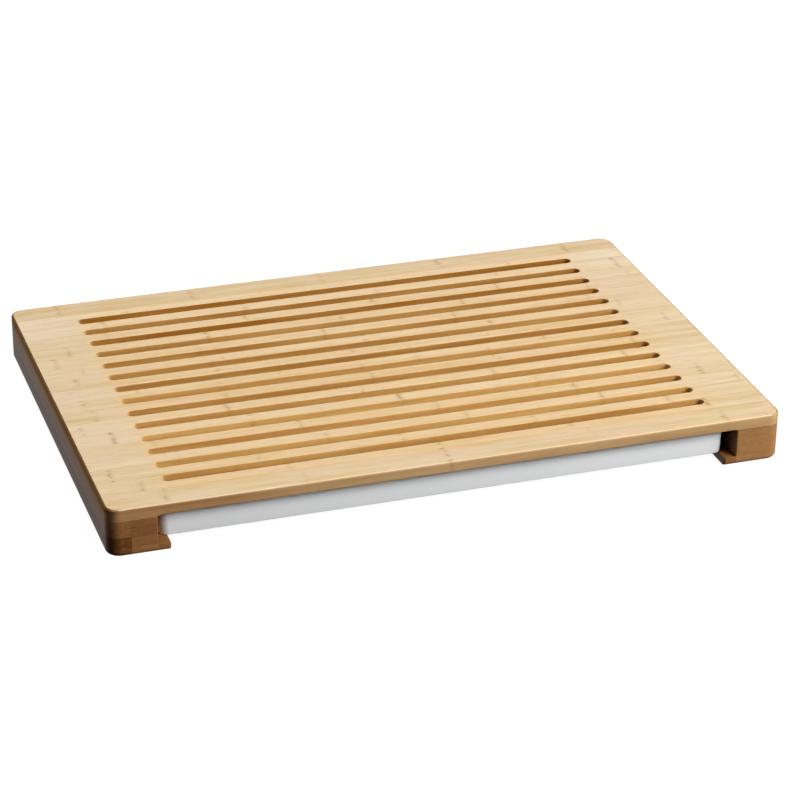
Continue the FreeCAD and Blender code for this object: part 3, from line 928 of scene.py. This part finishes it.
@dataclass(frozen=True)
class MouldedPlastic:
    """White polypropylene, injection moulded with a fine spark-eroded grain.

    It gives the eye an even, faintly cool white with a soft wide gloss.
    """

    name: str = "white_moulded_polypropylene"
    colour: str = "ecedee"
    roughness: float = 0.38

    def material(self) -> bpy.types.Material:
        """Builds the material; the grain is 0.5 mm across, coarser than the real one so that it shows."""
        item = bpy.data.materials.new(self.name)
        item.use_nodes = True
        tree = item.node_tree
        tree.nodes.clear()
        where = add_node(tree, "ShaderNodeTexCoord")
        grain = add_node(
            tree,
            "ShaderNodeTexNoise",
            None,
            {"Vector": where.outputs["Object"], "Scale": 1.0 / (0.5 * MM), "Detail": 2.0},
        )
        bump = add_node(
            tree,
            "ShaderNodeBump",
            None,
            {"Strength": 0.2, "Distance": 0.03 * MM, "Height": grain.outputs["Fac"]},
        )
        surface = add_node(
            tree,
            "ShaderNodeBsdfPrincipled",
            None,
            {"Base Color": linear(self.colour), "Roughness": self.roughness, "IOR": 1.49, "Normal": bump},
        )
        add_node(tree, "ShaderNodeOutputMaterial", None, {"Surface": surface})
        return item


@dataclass(frozen=True)
class ZincPlatedSteel:
    """Bright zinc-plated steel, cold formed.

    It gives the eye a grey metal with a faint blue cast and a slightly cloudy gloss.
    """

    name: str = "zinc_plated_steel"
    colour: str = "c3c6c8"
    roughness: float = 0.3

    def material(self) -> bpy.types.Material:
        """Builds the material; the clouds of the plating are about 2 mm across."""
        item = bpy.data.materials.new(self.name)
        item.use_nodes = True
        tree = item.node_tree
        tree.nodes.clear()
        where = add_node(tree, "ShaderNodeTexCoord")
        clouds = add_node(
            tree,
            "ShaderNodeTexNoise",
            None,
            {"Vector": where.outputs["Object"], "Scale": 1.0 / (2.0 * MM), "Detail": 3.0},
        )
        gloss = add_node(
            tree,
            "ShaderNodeMapRange",
            None,
            {
                "Value": clouds.outputs["Fac"],
                "From Min": 0.3,
                "From Max": 0.7,
                "To Min": self.roughness - 0.06,
                "To Max": self.roughness + 0.08,
            },
        )
        surface = add_node(
            tree,
            "ShaderNodeBsdfPrincipled",
            None,
            {"Base Color": linear(self.colour), "Metallic": 1.0, "Roughness": gloss},
        )
        add_node(tree, "ShaderNodeOutputMaterial", None, {"Surface": surface})
        return item


@dataclass
class SlottedBoard:
    """The top panel: round corners, eased edges and fourteen crumb slots."""

    low: Vector
    high: Vector
    corner_round: float = 9.5 * MM
    top_round: float = 1.5 * MM
    mouth_round: float = 1.2 * MM
    seam: float = 0.25 * MM
    collar: float = 0.4 * MM
    slot_count: int = 14
    slot_length: float = 386.0 * MM
    slot_width: float = 8.0 * MM
    slot_pitch: float = 19.5 * MM
    rim_round: float = 0.6 * MM
    channel_width: float = 408.0 * MM

    def edge_rings(self) -> NDArray:
        """The outer wall: a rounded rectangle that each height insets by the rounds of its edges.

        Returns:
            Rings from the underside's collar up to the top's collar, (levels, points, 3).
        """
        thickness = self.high.z - self.low.z
        heights = merge_levels(
            round_heights(self.seam, 3),
            round_heights(self.mouth_round),
            thickness - round_heights(self.top_round, 8),
        )
        inset = quarter_round(heights, self.seam) + quarter_round(thickness - heights, self.top_round)
        heights = np.concatenate(([0.0], heights, [thickness]))
        inset = np.concatenate(([self.seam + self.collar], inset, [self.top_round + self.collar]))
        low = np.array(self.low[:2]) + inset[:, None]
        high = np.array(self.high[:2]) - inset[:, None]
        radii = np.repeat((self.corner_round - inset)[:, None], 4, axis=1)
        mouth = self.channel_width / 2
        ramp = np.linspace(-2.0, 0.0, 5) * MM
        marks = np.concatenate((-mouth - ramp[::-1], np.linspace(-180, 180, 37) * MM, mouth + ramp))
        run = self.high.x - self.low.x - 2 * self.corner_round
        front = 0.5 + marks / run
        outlines = rounded_rectangles(low, high, radii, [front, [], [], []], arc_steps=14)
        across = outlines[..., 0]
        is_front = outlines[..., 1] < self.low.y + self.corner_round * 0.5
        share = np.clip((mouth - np.abs(across)) / (2.0 * MM), 0.0, 1.0)
        share = share**2 * (3 - 2 * share) * (is_front & (np.abs(across) < mouth + MM))
        deeper = quarter_round(heights, self.mouth_round) - quarter_round(heights, self.seam)
        deeper = np.where(heights < self.mouth_round, deeper, 0.0)
        outlines[..., 1] += share * deeper[:, None]
        return raise_outlines(outlines, self.low.z + heights)

    def slot_rings(self) -> NDArray:
        """The slots' walls: a straight run closed by two half circles, widened at its rims.

        Returns:
            Rings of every slot from the underside to the top, (slots, levels, points, 3).
        """
        thickness = self.high.z - self.low.z
        heights = merge_levels(
            round_heights(self.seam, 3), thickness - round_heights(self.rim_round, 5)
        )
        wider = quarter_round(heights, self.seam) + quarter_round(thickness - heights, self.rim_round)
        heights = np.concatenate(([0.0], heights, [thickness]))
        wider = np.concatenate(([self.seam + self.collar], wider, [self.rim_round + self.collar]))
        radius = self.slot_width / 2 + wider
        half_run = (self.slot_length - self.slot_width) / 2
        turn = np.linspace(-0.5, 0.5, 17) * np.pi
        turns = np.concatenate((turn, turn + np.pi))
        ends = np.repeat([half_run, -half_run], len(turn))
        x = ends + radius[:, None] * np.cos(turns)
        y = radius[:, None] * np.sin(turns)
        rows = (np.arange(self.slot_count) - (self.slot_count - 1) / 2) * self.slot_pitch
        rings = np.zeros((self.slot_count, *x.shape, 3))
        rings[..., 0] = x
        rings[..., 1] = y + rows[:, None, None]
        rings[..., 2] = self.low.z + heights[:, None]
        return rings

    def build(self) -> bpy.types.Object:
        """Builds the panel and hands it over."""
        shell = Shell()
        edge = shell.wall(self.edge_rings())
        slots = [shell.wall(rings, outward=False) for rings in self.slot_rings()]
        shell.flat([edge[-1]] + [slot[-1] for slot in slots], up=True)
        shell.flat([edge[0]] + [slot[0] for slot in slots], up=False)
        finish = PressedBamboo("oiled_bamboo_strips", left_edge=self.low.x / MM)
        item = shell.to_object("panel", finish.material())
        hand_over(item, "slotted_board", "board")
        report(item, shell)
        return item


@dataclass
class ScrewBore:
    """A counterbored hole for a wood screw, turned about an upright axis."""

    x: float
    y: float
    seat: float
    counterbore: float = 8.5 * MM
    bore: float = 4.0 * MM
    ease: float = 0.3 * MM
    steps: int = 40

    def rings(self, foot: float, head: float) -> NDArray:
        """The hole's wall as circles of changing radius, from the foot of the rail to its top.

        Args:
            foot: height of the rail's foot.
            head: height of the rail's top.

        Returns:
            (levels, points, 3).
        """
        wide, narrow = self.counterbore / 2, self.bore / 2
        rise = round_heights(self.ease, 3)
        radius = np.concatenate((wide + quarter_round(rise, self.ease), [wide, narrow, narrow]))
        height = np.concatenate((foot + rise, [self.seat, self.seat, head]))
        turn = np.linspace(0.0, 2 * np.pi, self.steps, endpoint=False)
        rings = np.zeros((len(radius), self.steps, 3))
        rings[..., 0] = self.x + radius[:, None] * np.cos(turn)
        rings[..., 1] = self.y + radius[:, None] * np.sin(turn)
        rings[..., 2] = height[:, None]
        return rings


@dataclass
class Rail:
    """One of the rails under the panel: a bar with rounded foot, and holes for its screws."""

    node: str
    low: Vector
    high: Vector
    corner_rounds: tuple[float, float, float, float]
    foot_rounds: tuple[float, float, float, float]
    bores: list[ScrewBore]
    finish: LaminatedBamboo
    glued_corner: int | None = None
    glued_height: float = 6.0 * MM
    seam: float = 0.25 * MM
    collar: float = 0.4 * MM

    def rings(self) -> NDArray:
        """The bar's wall: a rounded rectangle whose four sides stand back by their own rounds.

        The sides are front, right, back and left, and a corner's radius shrinks by the smaller inset beside it.
        The corner that a runner is glued to stays sharp up to the runner's height.

        Returns:
            Rings from the foot's collar to the top's collar, (levels, points, 3).
        """
        tall = self.high.z - self.low.z
        widest = max(self.foot_rounds)
        heights = merge_levels(
            round_heights(min(self.foot_rounds), 3),
            round_heights(widest, 9),
            self.glued_height + np.array([-0.1, 0.0]) * MM,
            tall - round_heights(self.seam, 3),
        )
        sides = [quarter_round(heights, foot) for foot in self.foot_rounds]
        insets = np.stack(sides, axis=1) + quarter_round(tall - heights, self.seam)[:, None]
        insets = np.vstack((insets[0] + self.collar, insets, insets[-1] + self.collar))
        heights = np.concatenate(([0.0], heights, [tall]))
        front, right, back, left = insets.T
        low = np.column_stack((self.low.x + left, self.low.y + front))
        high = np.column_stack((self.high.x - right, self.high.y - back))
        beside = np.minimum(insets, np.roll(insets, 1, axis=1))
        radii = np.maximum(np.array(self.corner_rounds) - beside, 0.1 * MM)
        if self.glued_corner is not None:
            radii[heights < self.glued_height - 0.05 * MM, self.glued_corner] = 0.1 * MM
        outlines = rounded_rectangles(low, high, radii, arc_steps=12)
        return raise_outlines(outlines, self.low.z + heights)

    def build(self) -> bpy.types.Object:
        """Builds the rail and hands it over."""
        shell = Shell()
        wall = shell.wall(self.rings())
        holes = [shell.wall(bore.rings(self.low.z, self.high.z), outward=False) for bore in self.bores]
        shell.flat([wall[-1]] + [hole[-1] for hole in holes], up=True)
        shell.flat([wall[0]] + [hole[0] for hole in holes], up=False)
        item = shell.to_object(f"{self.node}_block", self.finish.material())
        hand_over(item, self.node, "board")
        report(item, shell)
        return item


@dataclass
class Runner:
    """A strip glued to the inner foot of a side rail; the tray slides on it."""

    side: Side
    low: Vector
    high: Vector
    foot_round: float = 3.0 * MM
    arris: float = 1.2 * MM
    seam: float = 0.25 * MM

    def build(self) -> bpy.types.Object:
        """Builds the strip and hands it over."""
        tall = self.high.z - self.low.z
        heights = merge_levels(
            round_heights(self.seam, 3),
            round_heights(self.foot_round, 9),
            tall - round_heights(self.arris, 6),
        )
        above = tall - heights
        front = quarter_round(heights, self.foot_round) + quarter_round(above, self.seam)
        inner = quarter_round(heights, self.seam) + quarter_round(above, self.arris)
        plain = quarter_round(heights, self.seam) + quarter_round(above, self.seam)
        is_left = self.side is Side.LEFT
        right, left = (inner, plain) if is_left else (plain, inner)
        insets = np.stack((front, right, plain, left), axis=1)
        insets = np.vstack((insets[0] + 2 * self.seam, insets, insets[-1] + 2 * self.seam))
        heights = np.concatenate(([0.0], heights, [tall]))
        front, right, back, left = insets.T
        low = np.column_stack((self.low.x + left, self.low.y + front))
        high = np.column_stack((self.high.x - right, self.high.y - back))
        corner = np.array([0.1, 1.2, 0.3, 0.1] if is_left else [1.2, 0.1, 0.1, 0.3]) * MM
        radii = np.broadcast_to(corner, (len(heights), 4))
        outlines = rounded_rectangles(low, high, radii, arc_steps=6)
        shell = Shell()
        wall = shell.wall(raise_outlines(outlines, self.low.z + heights))
        shell.flat([wall[-1]], up=True)
        shell.flat([wall[0]], up=False)
        finish = LaminatedBamboo(
            f"bamboo_strip_{self.side.word}",
            Grain.Y,
            (self.low.x if is_left else self.high.x) / MM,
            self.side.value,
            light="a0713f",
            dark="744820",
        )
        item = shell.to_object(f"{self.side.word}_runner_strip", finish.material())
        hand_over(item, f"{self.side.word}_runner", "board")
        report(item, shell)
        return item


@dataclass
class CrumbTray:
    """The moulded tray: drafted walls of even thickness, round corners, open at the top."""

    low: Vector
    high: Vector
    wall: float = 2.0 * MM
    draft: float = 3.0
    corner_round: float = 7.5 * MM
    foot_round: float = 0.6 * MM
    floor_round: float = 3.0 * MM
    rim_round: float = 0.5 * MM
    collar: float = 1.0 * MM

    def profile(self) -> tuple[NDArray, NDArray]:
        """Section through the wall, from under the foot, up the outside, over the rim and down to the floor.

        Returns:
            How far each point stands in from the rim's outer edge, and its height above the foot.
        """
        tall = self.high.z - self.low.z
        slope = np.tan(np.radians(self.draft))
        turn = np.linspace(0.0, np.pi / 2, 8)
        foot_centre = tall * slope - self.foot_round * slope + self.foot_round
        foot = np.column_stack(
            (
                foot_centre - self.foot_round * np.sin(turn),
                self.foot_round - self.foot_round * np.cos(turn),
            )
        )
        over = np.linspace(0.0, np.pi, 9)
        half = self.wall / 2
        rim = np.column_stack(
            (
                half - half * np.cos(over),
                tall - self.rim_round + self.rim_round * np.sin(over),
            )
        )
        inner_foot = self.wall + (tall - self.wall - self.floor_round) * slope
        floor = np.column_stack(
            (
                inner_foot + self.floor_round - self.floor_round * np.cos(turn),
                self.wall + self.floor_round - self.floor_round * np.sin(turn),
            )
        )
        start = foot[:1] + [self.collar, 0.0]
        end = floor[-1:] + [self.collar, 0.0]
        section = np.vstack((start, foot, rim, floor, end))
        return section[:, 0], section[:, 1]

    def build(self) -> bpy.types.Object:
        """Builds the tray and hands it over."""
        inset, heights = self.profile()
        low = np.array(self.low[:2]) + inset[:, None]
        high = np.array(self.high[:2]) - inset[:, None]
        radii = np.repeat(np.maximum(self.corner_round - inset, 0.4 * MM)[:, None], 4, axis=1)
        outlines = rounded_rectangles(low, high, radii, arc_steps=12)
        shell = Shell()
        wall = shell.wall(raise_outlines(outlines, self.low.z + heights))
        shell.flat([wall[0]], up=False)
        shell.flat([wall[-1]], up=True)
        item = shell.to_object("moulded_tray", MouldedPlastic().material())
        hand_over(item, "crumb_tray", "tray")
        report(item, shell)
        return item


@dataclass
class RailScrews:
    """Six pan-head wood screws, driven upwards through the rails into the panel."""

    places: list[tuple[float, float]]
    seat: float = 11.0 * MM
    length: float = 20.0 * MM
    head: float = 7.0 * MM
    head_height: float = 2.4 * MM
    shank: float = 3.5 * MM
    pitch: float = 1.35 * MM
    recess: float = 1.3 * MM
    turns_around: int = 48

    def section(self) -> tuple[NDArray, NDArray]:
        """Half section of a screw from the middle of its head to its tip.

        Returns:
            Radius and height of each point.
        """
        head = self.head / 2
        under = self.seat - self.head_height
        reach = np.linspace(0.02, 0.8, 22)
        crown = head * reach
        crown_height = under + 0.16 * self.head_height * reach**2
        turn = np.linspace(0.0, np.pi / 2, 6)
        lip = 0.2 * head
        lip_radius = head - lip + lip * np.sin(turn)
        lip_height = under + 0.1 * self.head_height + 2 * lip * (1 - np.cos(turn))
        radius = np.concatenate((crown, lip_radius, [head, self.shank / 2]))
        height = np.concatenate((crown_height, lip_height, [self.seat, self.seat]))
        thread = np.linspace(0.0, self.length * 0.9, 150)
        radius = np.concatenate((radius, np.full(len(thread), self.shank / 2), [0.02 * MM]))
        height = np.concatenate((height, self.seat + thread, [self.seat + self.length]))
        return radius, height

    def build(self) -> bpy.types.Object:
        """Builds the screws and hands them over.

        The head's face is a dome with a cross pressed into it: four arms, deepest in the middle. The shank's
        radius follows a saw wave of height and angle, which winds the thread round it.
        """
        radius, height = self.section()
        turn = np.linspace(0.0, 2 * np.pi, self.turns_around, endpoint=False)
        rings_radius = np.repeat(radius[:, None], self.turns_around, axis=1)
        rings_height = np.repeat(height[:, None], self.turns_around, axis=1)
        on_face = (height < self.seat - self.head_height * 0.7)[:, None] & (radius < self.head * 0.4)[:, None]
        x, y = rings_radius * np.cos(turn), rings_radius * np.sin(turn)
        arm = np.minimum(np.abs(x), np.abs(y)) / (0.11 * self.head)
        reach = rings_radius / (0.33 * self.head)
        sunk = np.clip(1.5 - arm, 0.0, 1.0) * np.clip(1.6 * (1.0 - reach), 0.0, 1.0)
        rings_height = rings_height + np.where(on_face, self.recess * sunk, 0.0)
        run = (rings_height - self.seat) / self.pitch - turn / (2 * np.pi)
        saw = np.abs((run % 1.0) - 0.5) * 2
        threaded = (height > self.seat + 2 * MM)[:, None] & (radius > MM)[:, None]
        rings_radius = rings_radius - np.where(threaded, 0.45 * MM * (1 - saw), 0.0)
        shell = Shell()
        for place in self.places:
            rings = np.stack(
                (
                    place[0] + rings_radius * np.cos(turn),
                    place[1] + rings_radius * np.sin(turn),
                    rings_height,
                ),
                axis=-1,
            )
            numbers = shell.wall(rings)
            shell.flat([numbers[0]], up=False)
            shell.flat([numbers[-1]], up=True)
        item = shell.to_object("pan_head_screws", ZincPlatedSteel().material())
        hand_over(item, "rail_screws", "board")
        report(item, shell)
        return item


@dataclass
class PhotoCamera:
    """A long lens in front of the board, a little to its left and above it."""

    target: tuple[float, float, float] = (13.907 * MM, 1.179 * MM, 0.318 * MM)
    distance: float = 1.9903
    azimuth: float = -18.529
    elevation: float = 26.5895
    roll: float = 0.627
    focal_length: float = 124.34
    sensor: float = 36.0

    def build(self) -> bpy.types.Object:
        """Places the camera on its line of sight and makes it the scene's own."""
        azimuth, elevation, roll = np.radians((self.azimuth, self.elevation, self.roll))
        level = np.cos(elevation)
        back = Vector((np.sin(azimuth) * level, -np.cos(azimuth) * level, np.sin(elevation)))
        right = Vector((0.0, 0.0, 1.0)).cross(back).normalized()
        up = back.cross(right)
        rolled_right = np.cos(roll) * right + np.sin(roll) * up
        rolled_up = -np.sin(roll) * right + np.cos(roll) * up
        turn = Matrix((rolled_right, rolled_up, back)).transposed().to_4x4()
        data = bpy.data.cameras.new("photo_camera")
        data.lens = self.focal_length
        data.sensor_width = self.sensor
        data.clip_end = 20.0
        item = bpy.data.objects.new("photo_camera", data)
        item.matrix_world = Matrix.Translation(Vector(self.target) + self.distance * back) @ turn
        bpy.context.scene.collection.objects.link(item)
        bpy.context.scene.camera = item
        return item


@dataclass
class SoftLamp:
    """A square soft box that shines at the board."""

    name: str
    place: tuple[float, float, float]
    size: float
    power: float
    colour: str = "ffffff"

    def build(self) -> bpy.types.Object:
        """Makes the lamp and aims it at the middle of the board."""
        data = bpy.data.lights.new(self.name, "AREA")
        data.shape = "SQUARE"
        data.size = self.size
        data.energy = self.power
        data.color = linear(self.colour)[:3]
        item = bpy.data.objects.new(self.name, data)
        item.location = self.place
        item.rotation_euler = (-Vector(self.place)).to_track_quat("-Z", "Y").to_euler()
        bpy.context.scene.collection.objects.link(item)
        return item


@dataclass(frozen=True)
class Room:
    """A dim room whose back wall is pale and lights the board a little.

    Its light in a direction d is dark + (pale - dark) * s, where s rises smoothly from 0 to 1 as the part
    of d along the bright side goes from low to high.
    """

    bright_side: tuple[float, float, float] = (0.0, 1.0, 0.0)
    low: float = -0.1
    high: float = 0.8
    dark: float = 0.0
    pale: float = 0.48
    colour: str = "ffffff"

    def build(self) -> bpy.types.World:
        """Makes the world."""
        world = bpy.data.worlds.new("pale_room")
        world.use_nodes = True
        tree = world.node_tree
        tree.nodes.clear()
        where = add_node(tree, "ShaderNodeTexCoord")
        side = Vector(self.bright_side).normalized()
        towards = add_node(
            tree, "ShaderNodeVectorMath", {"operation": "DOT_PRODUCT"}, {0: where.outputs["Generated"], 1: side}
        )
        light = add_node(
            tree,
            "ShaderNodeMapRange",
            {"interpolation_type": "SMOOTHSTEP"},
            {
                "Value": towards.outputs["Value"],
                "From Min": self.low,
                "From Max": self.high,
                "To Min": self.dark,
                "To Max": self.pale,
            },
        )
        sky = add_node(tree, "ShaderNodeBackground", None, {"Color": linear(self.colour), "Strength": light})
        add_node(tree, "ShaderNodeOutputWorld", None, {"Surface": sky})
        return world


@dataclass
class Studio:
    """A white table top in a dim room, lit by soft boxes in front to the right and high on the left."""

    room: Room = field(default_factory=Room)
    floor_size: float = 32.0
    floor_colour: str = "5a5a5a"
    floor_glow: float = 0.95
    backdrop_radius: float = 15.0

    def floor(self) -> bpy.types.Object:
        """Lays the floor just under the board: a back-lit acrylic sheet, so that shadows on it stay faint."""
        half = self.floor_size / 2
        corners = [(-half, -half, 0.0), (half, -half, 0.0), (half, half, 0.0), (-half, half, 0.0)]
        mesh = bpy.data.meshes.new("floor")
        mesh.from_pydata(corners, [], [(0, 1, 2, 3)])
        item = bpy.data.objects.new("floor", mesh)
        material = bpy.data.materials.new("backlit_white_acrylic")
        material.use_nodes = True
        tree = material.node_tree
        tree.nodes.clear()
        surface = add_node(
            tree,
            "ShaderNodeBsdfPrincipled",
            None,
            {
                "Base Color": linear(self.floor_colour),
                "Roughness": 0.9,
                "Specular IOR Level": 0.0,
                "Emission Color": linear("ffffff"),
                "Emission Strength": self.floor_glow,
            },
        )
        add_node(tree, "ShaderNodeOutputMaterial", None, {"Surface": surface})
        mesh.materials.append(material)
        bpy.context.scene.collection.objects.link(item)
        item.visible_diffuse = False
        item.visible_glossy = False
        return item

    def backdrop(self) -> bpy.types.Object:
        """Hangs a white sheet all round, far off, at (r cos t, r sin t, z): only to be seen, it lights nothing."""
        turns = np.linspace(0.0, 2 * np.pi, 48, endpoint=False)
        round_points = self.backdrop_radius * np.stack((np.cos(turns), np.sin(turns)), axis=1)
        heights = (-0.1, self.backdrop_radius)
        corners = [(float(x), float(y), height) for height in heights for x, y in round_points]
        count = len(turns)
        faces = [(i + count, (i + 1) % count + count, (i + 1) % count, i) for i in range(count)]
        mesh = bpy.data.meshes.new("backdrop")
        mesh.from_pydata(corners, [], faces)
        item = bpy.data.objects.new("backdrop", mesh)
        material = bpy.data.materials.new("white_sheet")
        material.use_nodes = True
        tree = material.node_tree
        tree.nodes.clear()
        glow = add_node(tree, "ShaderNodeEmission", None, {"Color": linear("ffffff"), "Strength": 1.0})
        add_node(tree, "ShaderNodeOutputMaterial", None, {"Surface": glow})
        mesh.materials.append(material)
        bpy.context.scene.collection.objects.link(item)
        item.visible_diffuse = False
        item.visible_glossy = False
        item.visible_shadow = False
        return item

    def build(self) -> None:
        """Lays the floor, hangs the backdrop, sets the room and the lamps, and keeps colours as they are lit."""
        self.floor()
        self.backdrop()
        scene = bpy.context.scene
        scene.world = self.room.build()
        scene.view_settings.view_transform = "Standard"
        SoftLamp("right_front_lamp", (2.15, -2.15, 1.85), 1.9, 178.0).build()
        SoftLamp("high_left_lamp", (-1.35, 1.2, 2.85), 2.1, 50.0).build()


def side_rail(side: Side, screw_reach: float) -> Rail:
    """Sets out a side rail from its CAD node's box.

    Args:
        side: which of the two rails.
        screw_reach: from the middle of the rail to its screws.

    Returns:
        The rail, ready to build.
    """
    node = f"{side.word}_rail"
    low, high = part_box(node)
    middle = (low.x + high.x) / 2
    outer, arris, plain = 9.5 * MM, 1.0 * MM, 0.3 * MM
    foot, ease = 3.0 * MM, 0.3 * MM
    is_left = side is Side.LEFT
    return Rail(
        node,
        low,
        high,
        (outer, arris, plain, outer) if is_left else (arris, outer, outer, plain),
        (foot, ease, foot, foot) if is_left else (foot, foot, foot, ease),
        [ScrewBore(middle, y, RailScrews.seat) for y in (-screw_reach, screw_reach)],
        LaminatedBamboo(
            f"steamed_bamboo_{side.word}",
            Grain.Y,
            (low.x if is_left else high.x) / MM,
            side.value,
            strips=(0.8, 0.85, 0.5, 0.5, 0.4, 0.45, 0.6, 0.6) if is_left else (0.0, 0.05, 0.1, 0.1, 0.0, 0.05, 0.1, 0.15),
            joints=0.15 if is_left else 0.05,
            # The left rail's line under the panel is a pale painted highlight; the right rail's is a dark glue line
            glue_and_highlight=-0.7 if is_left else 0.3,
        ),
        glued_corner=1 if is_left else 0,
    )


def rear_rail(screw_reach: float) -> Rail:
    """Sets out the rear rail from its CAD node's box, with its two screws."""
    low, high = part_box("rear_rail")
    middle = (low.y + high.y) / 2
    plain, ease, foot = 0.3 * MM, 0.3 * MM, 3.0 * MM
    return Rail(
        "rear_rail",
        low,
        high,
        (plain,) * 4,
        (ease, ease, foot, ease),
        [ScrewBore(x, middle, RailScrews.seat) for x in (-screw_reach, screw_reach)],
        LaminatedBamboo("steamed_bamboo_rear", Grain.X, high.y / MM, 1),
    )


def main() -> None:
    """Builds the board piece by piece, then the studio and the camera."""
    logging.basicConfig(level=logging.INFO, format="%(message)s")
    SlottedBoard(*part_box("slotted_board")).build()
    rails = [side_rail(Side.LEFT, 106.0 * MM), side_rail(Side.RIGHT, 106.0 * MM), rear_rail(120.0 * MM)]
    for rail in rails:
        rail.build()
    for side in Side:
        Runner(side, *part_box(f"{side.word}_runner")).build()
    CrumbTray(*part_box("crumb_tray")).build()
    RailScrews([(bore.x, bore.y) for rail in rails for bore in rail.bores]).build()
    Studio().build()
    PhotoCamera().build()


if __name__ == "__main__":
    main()
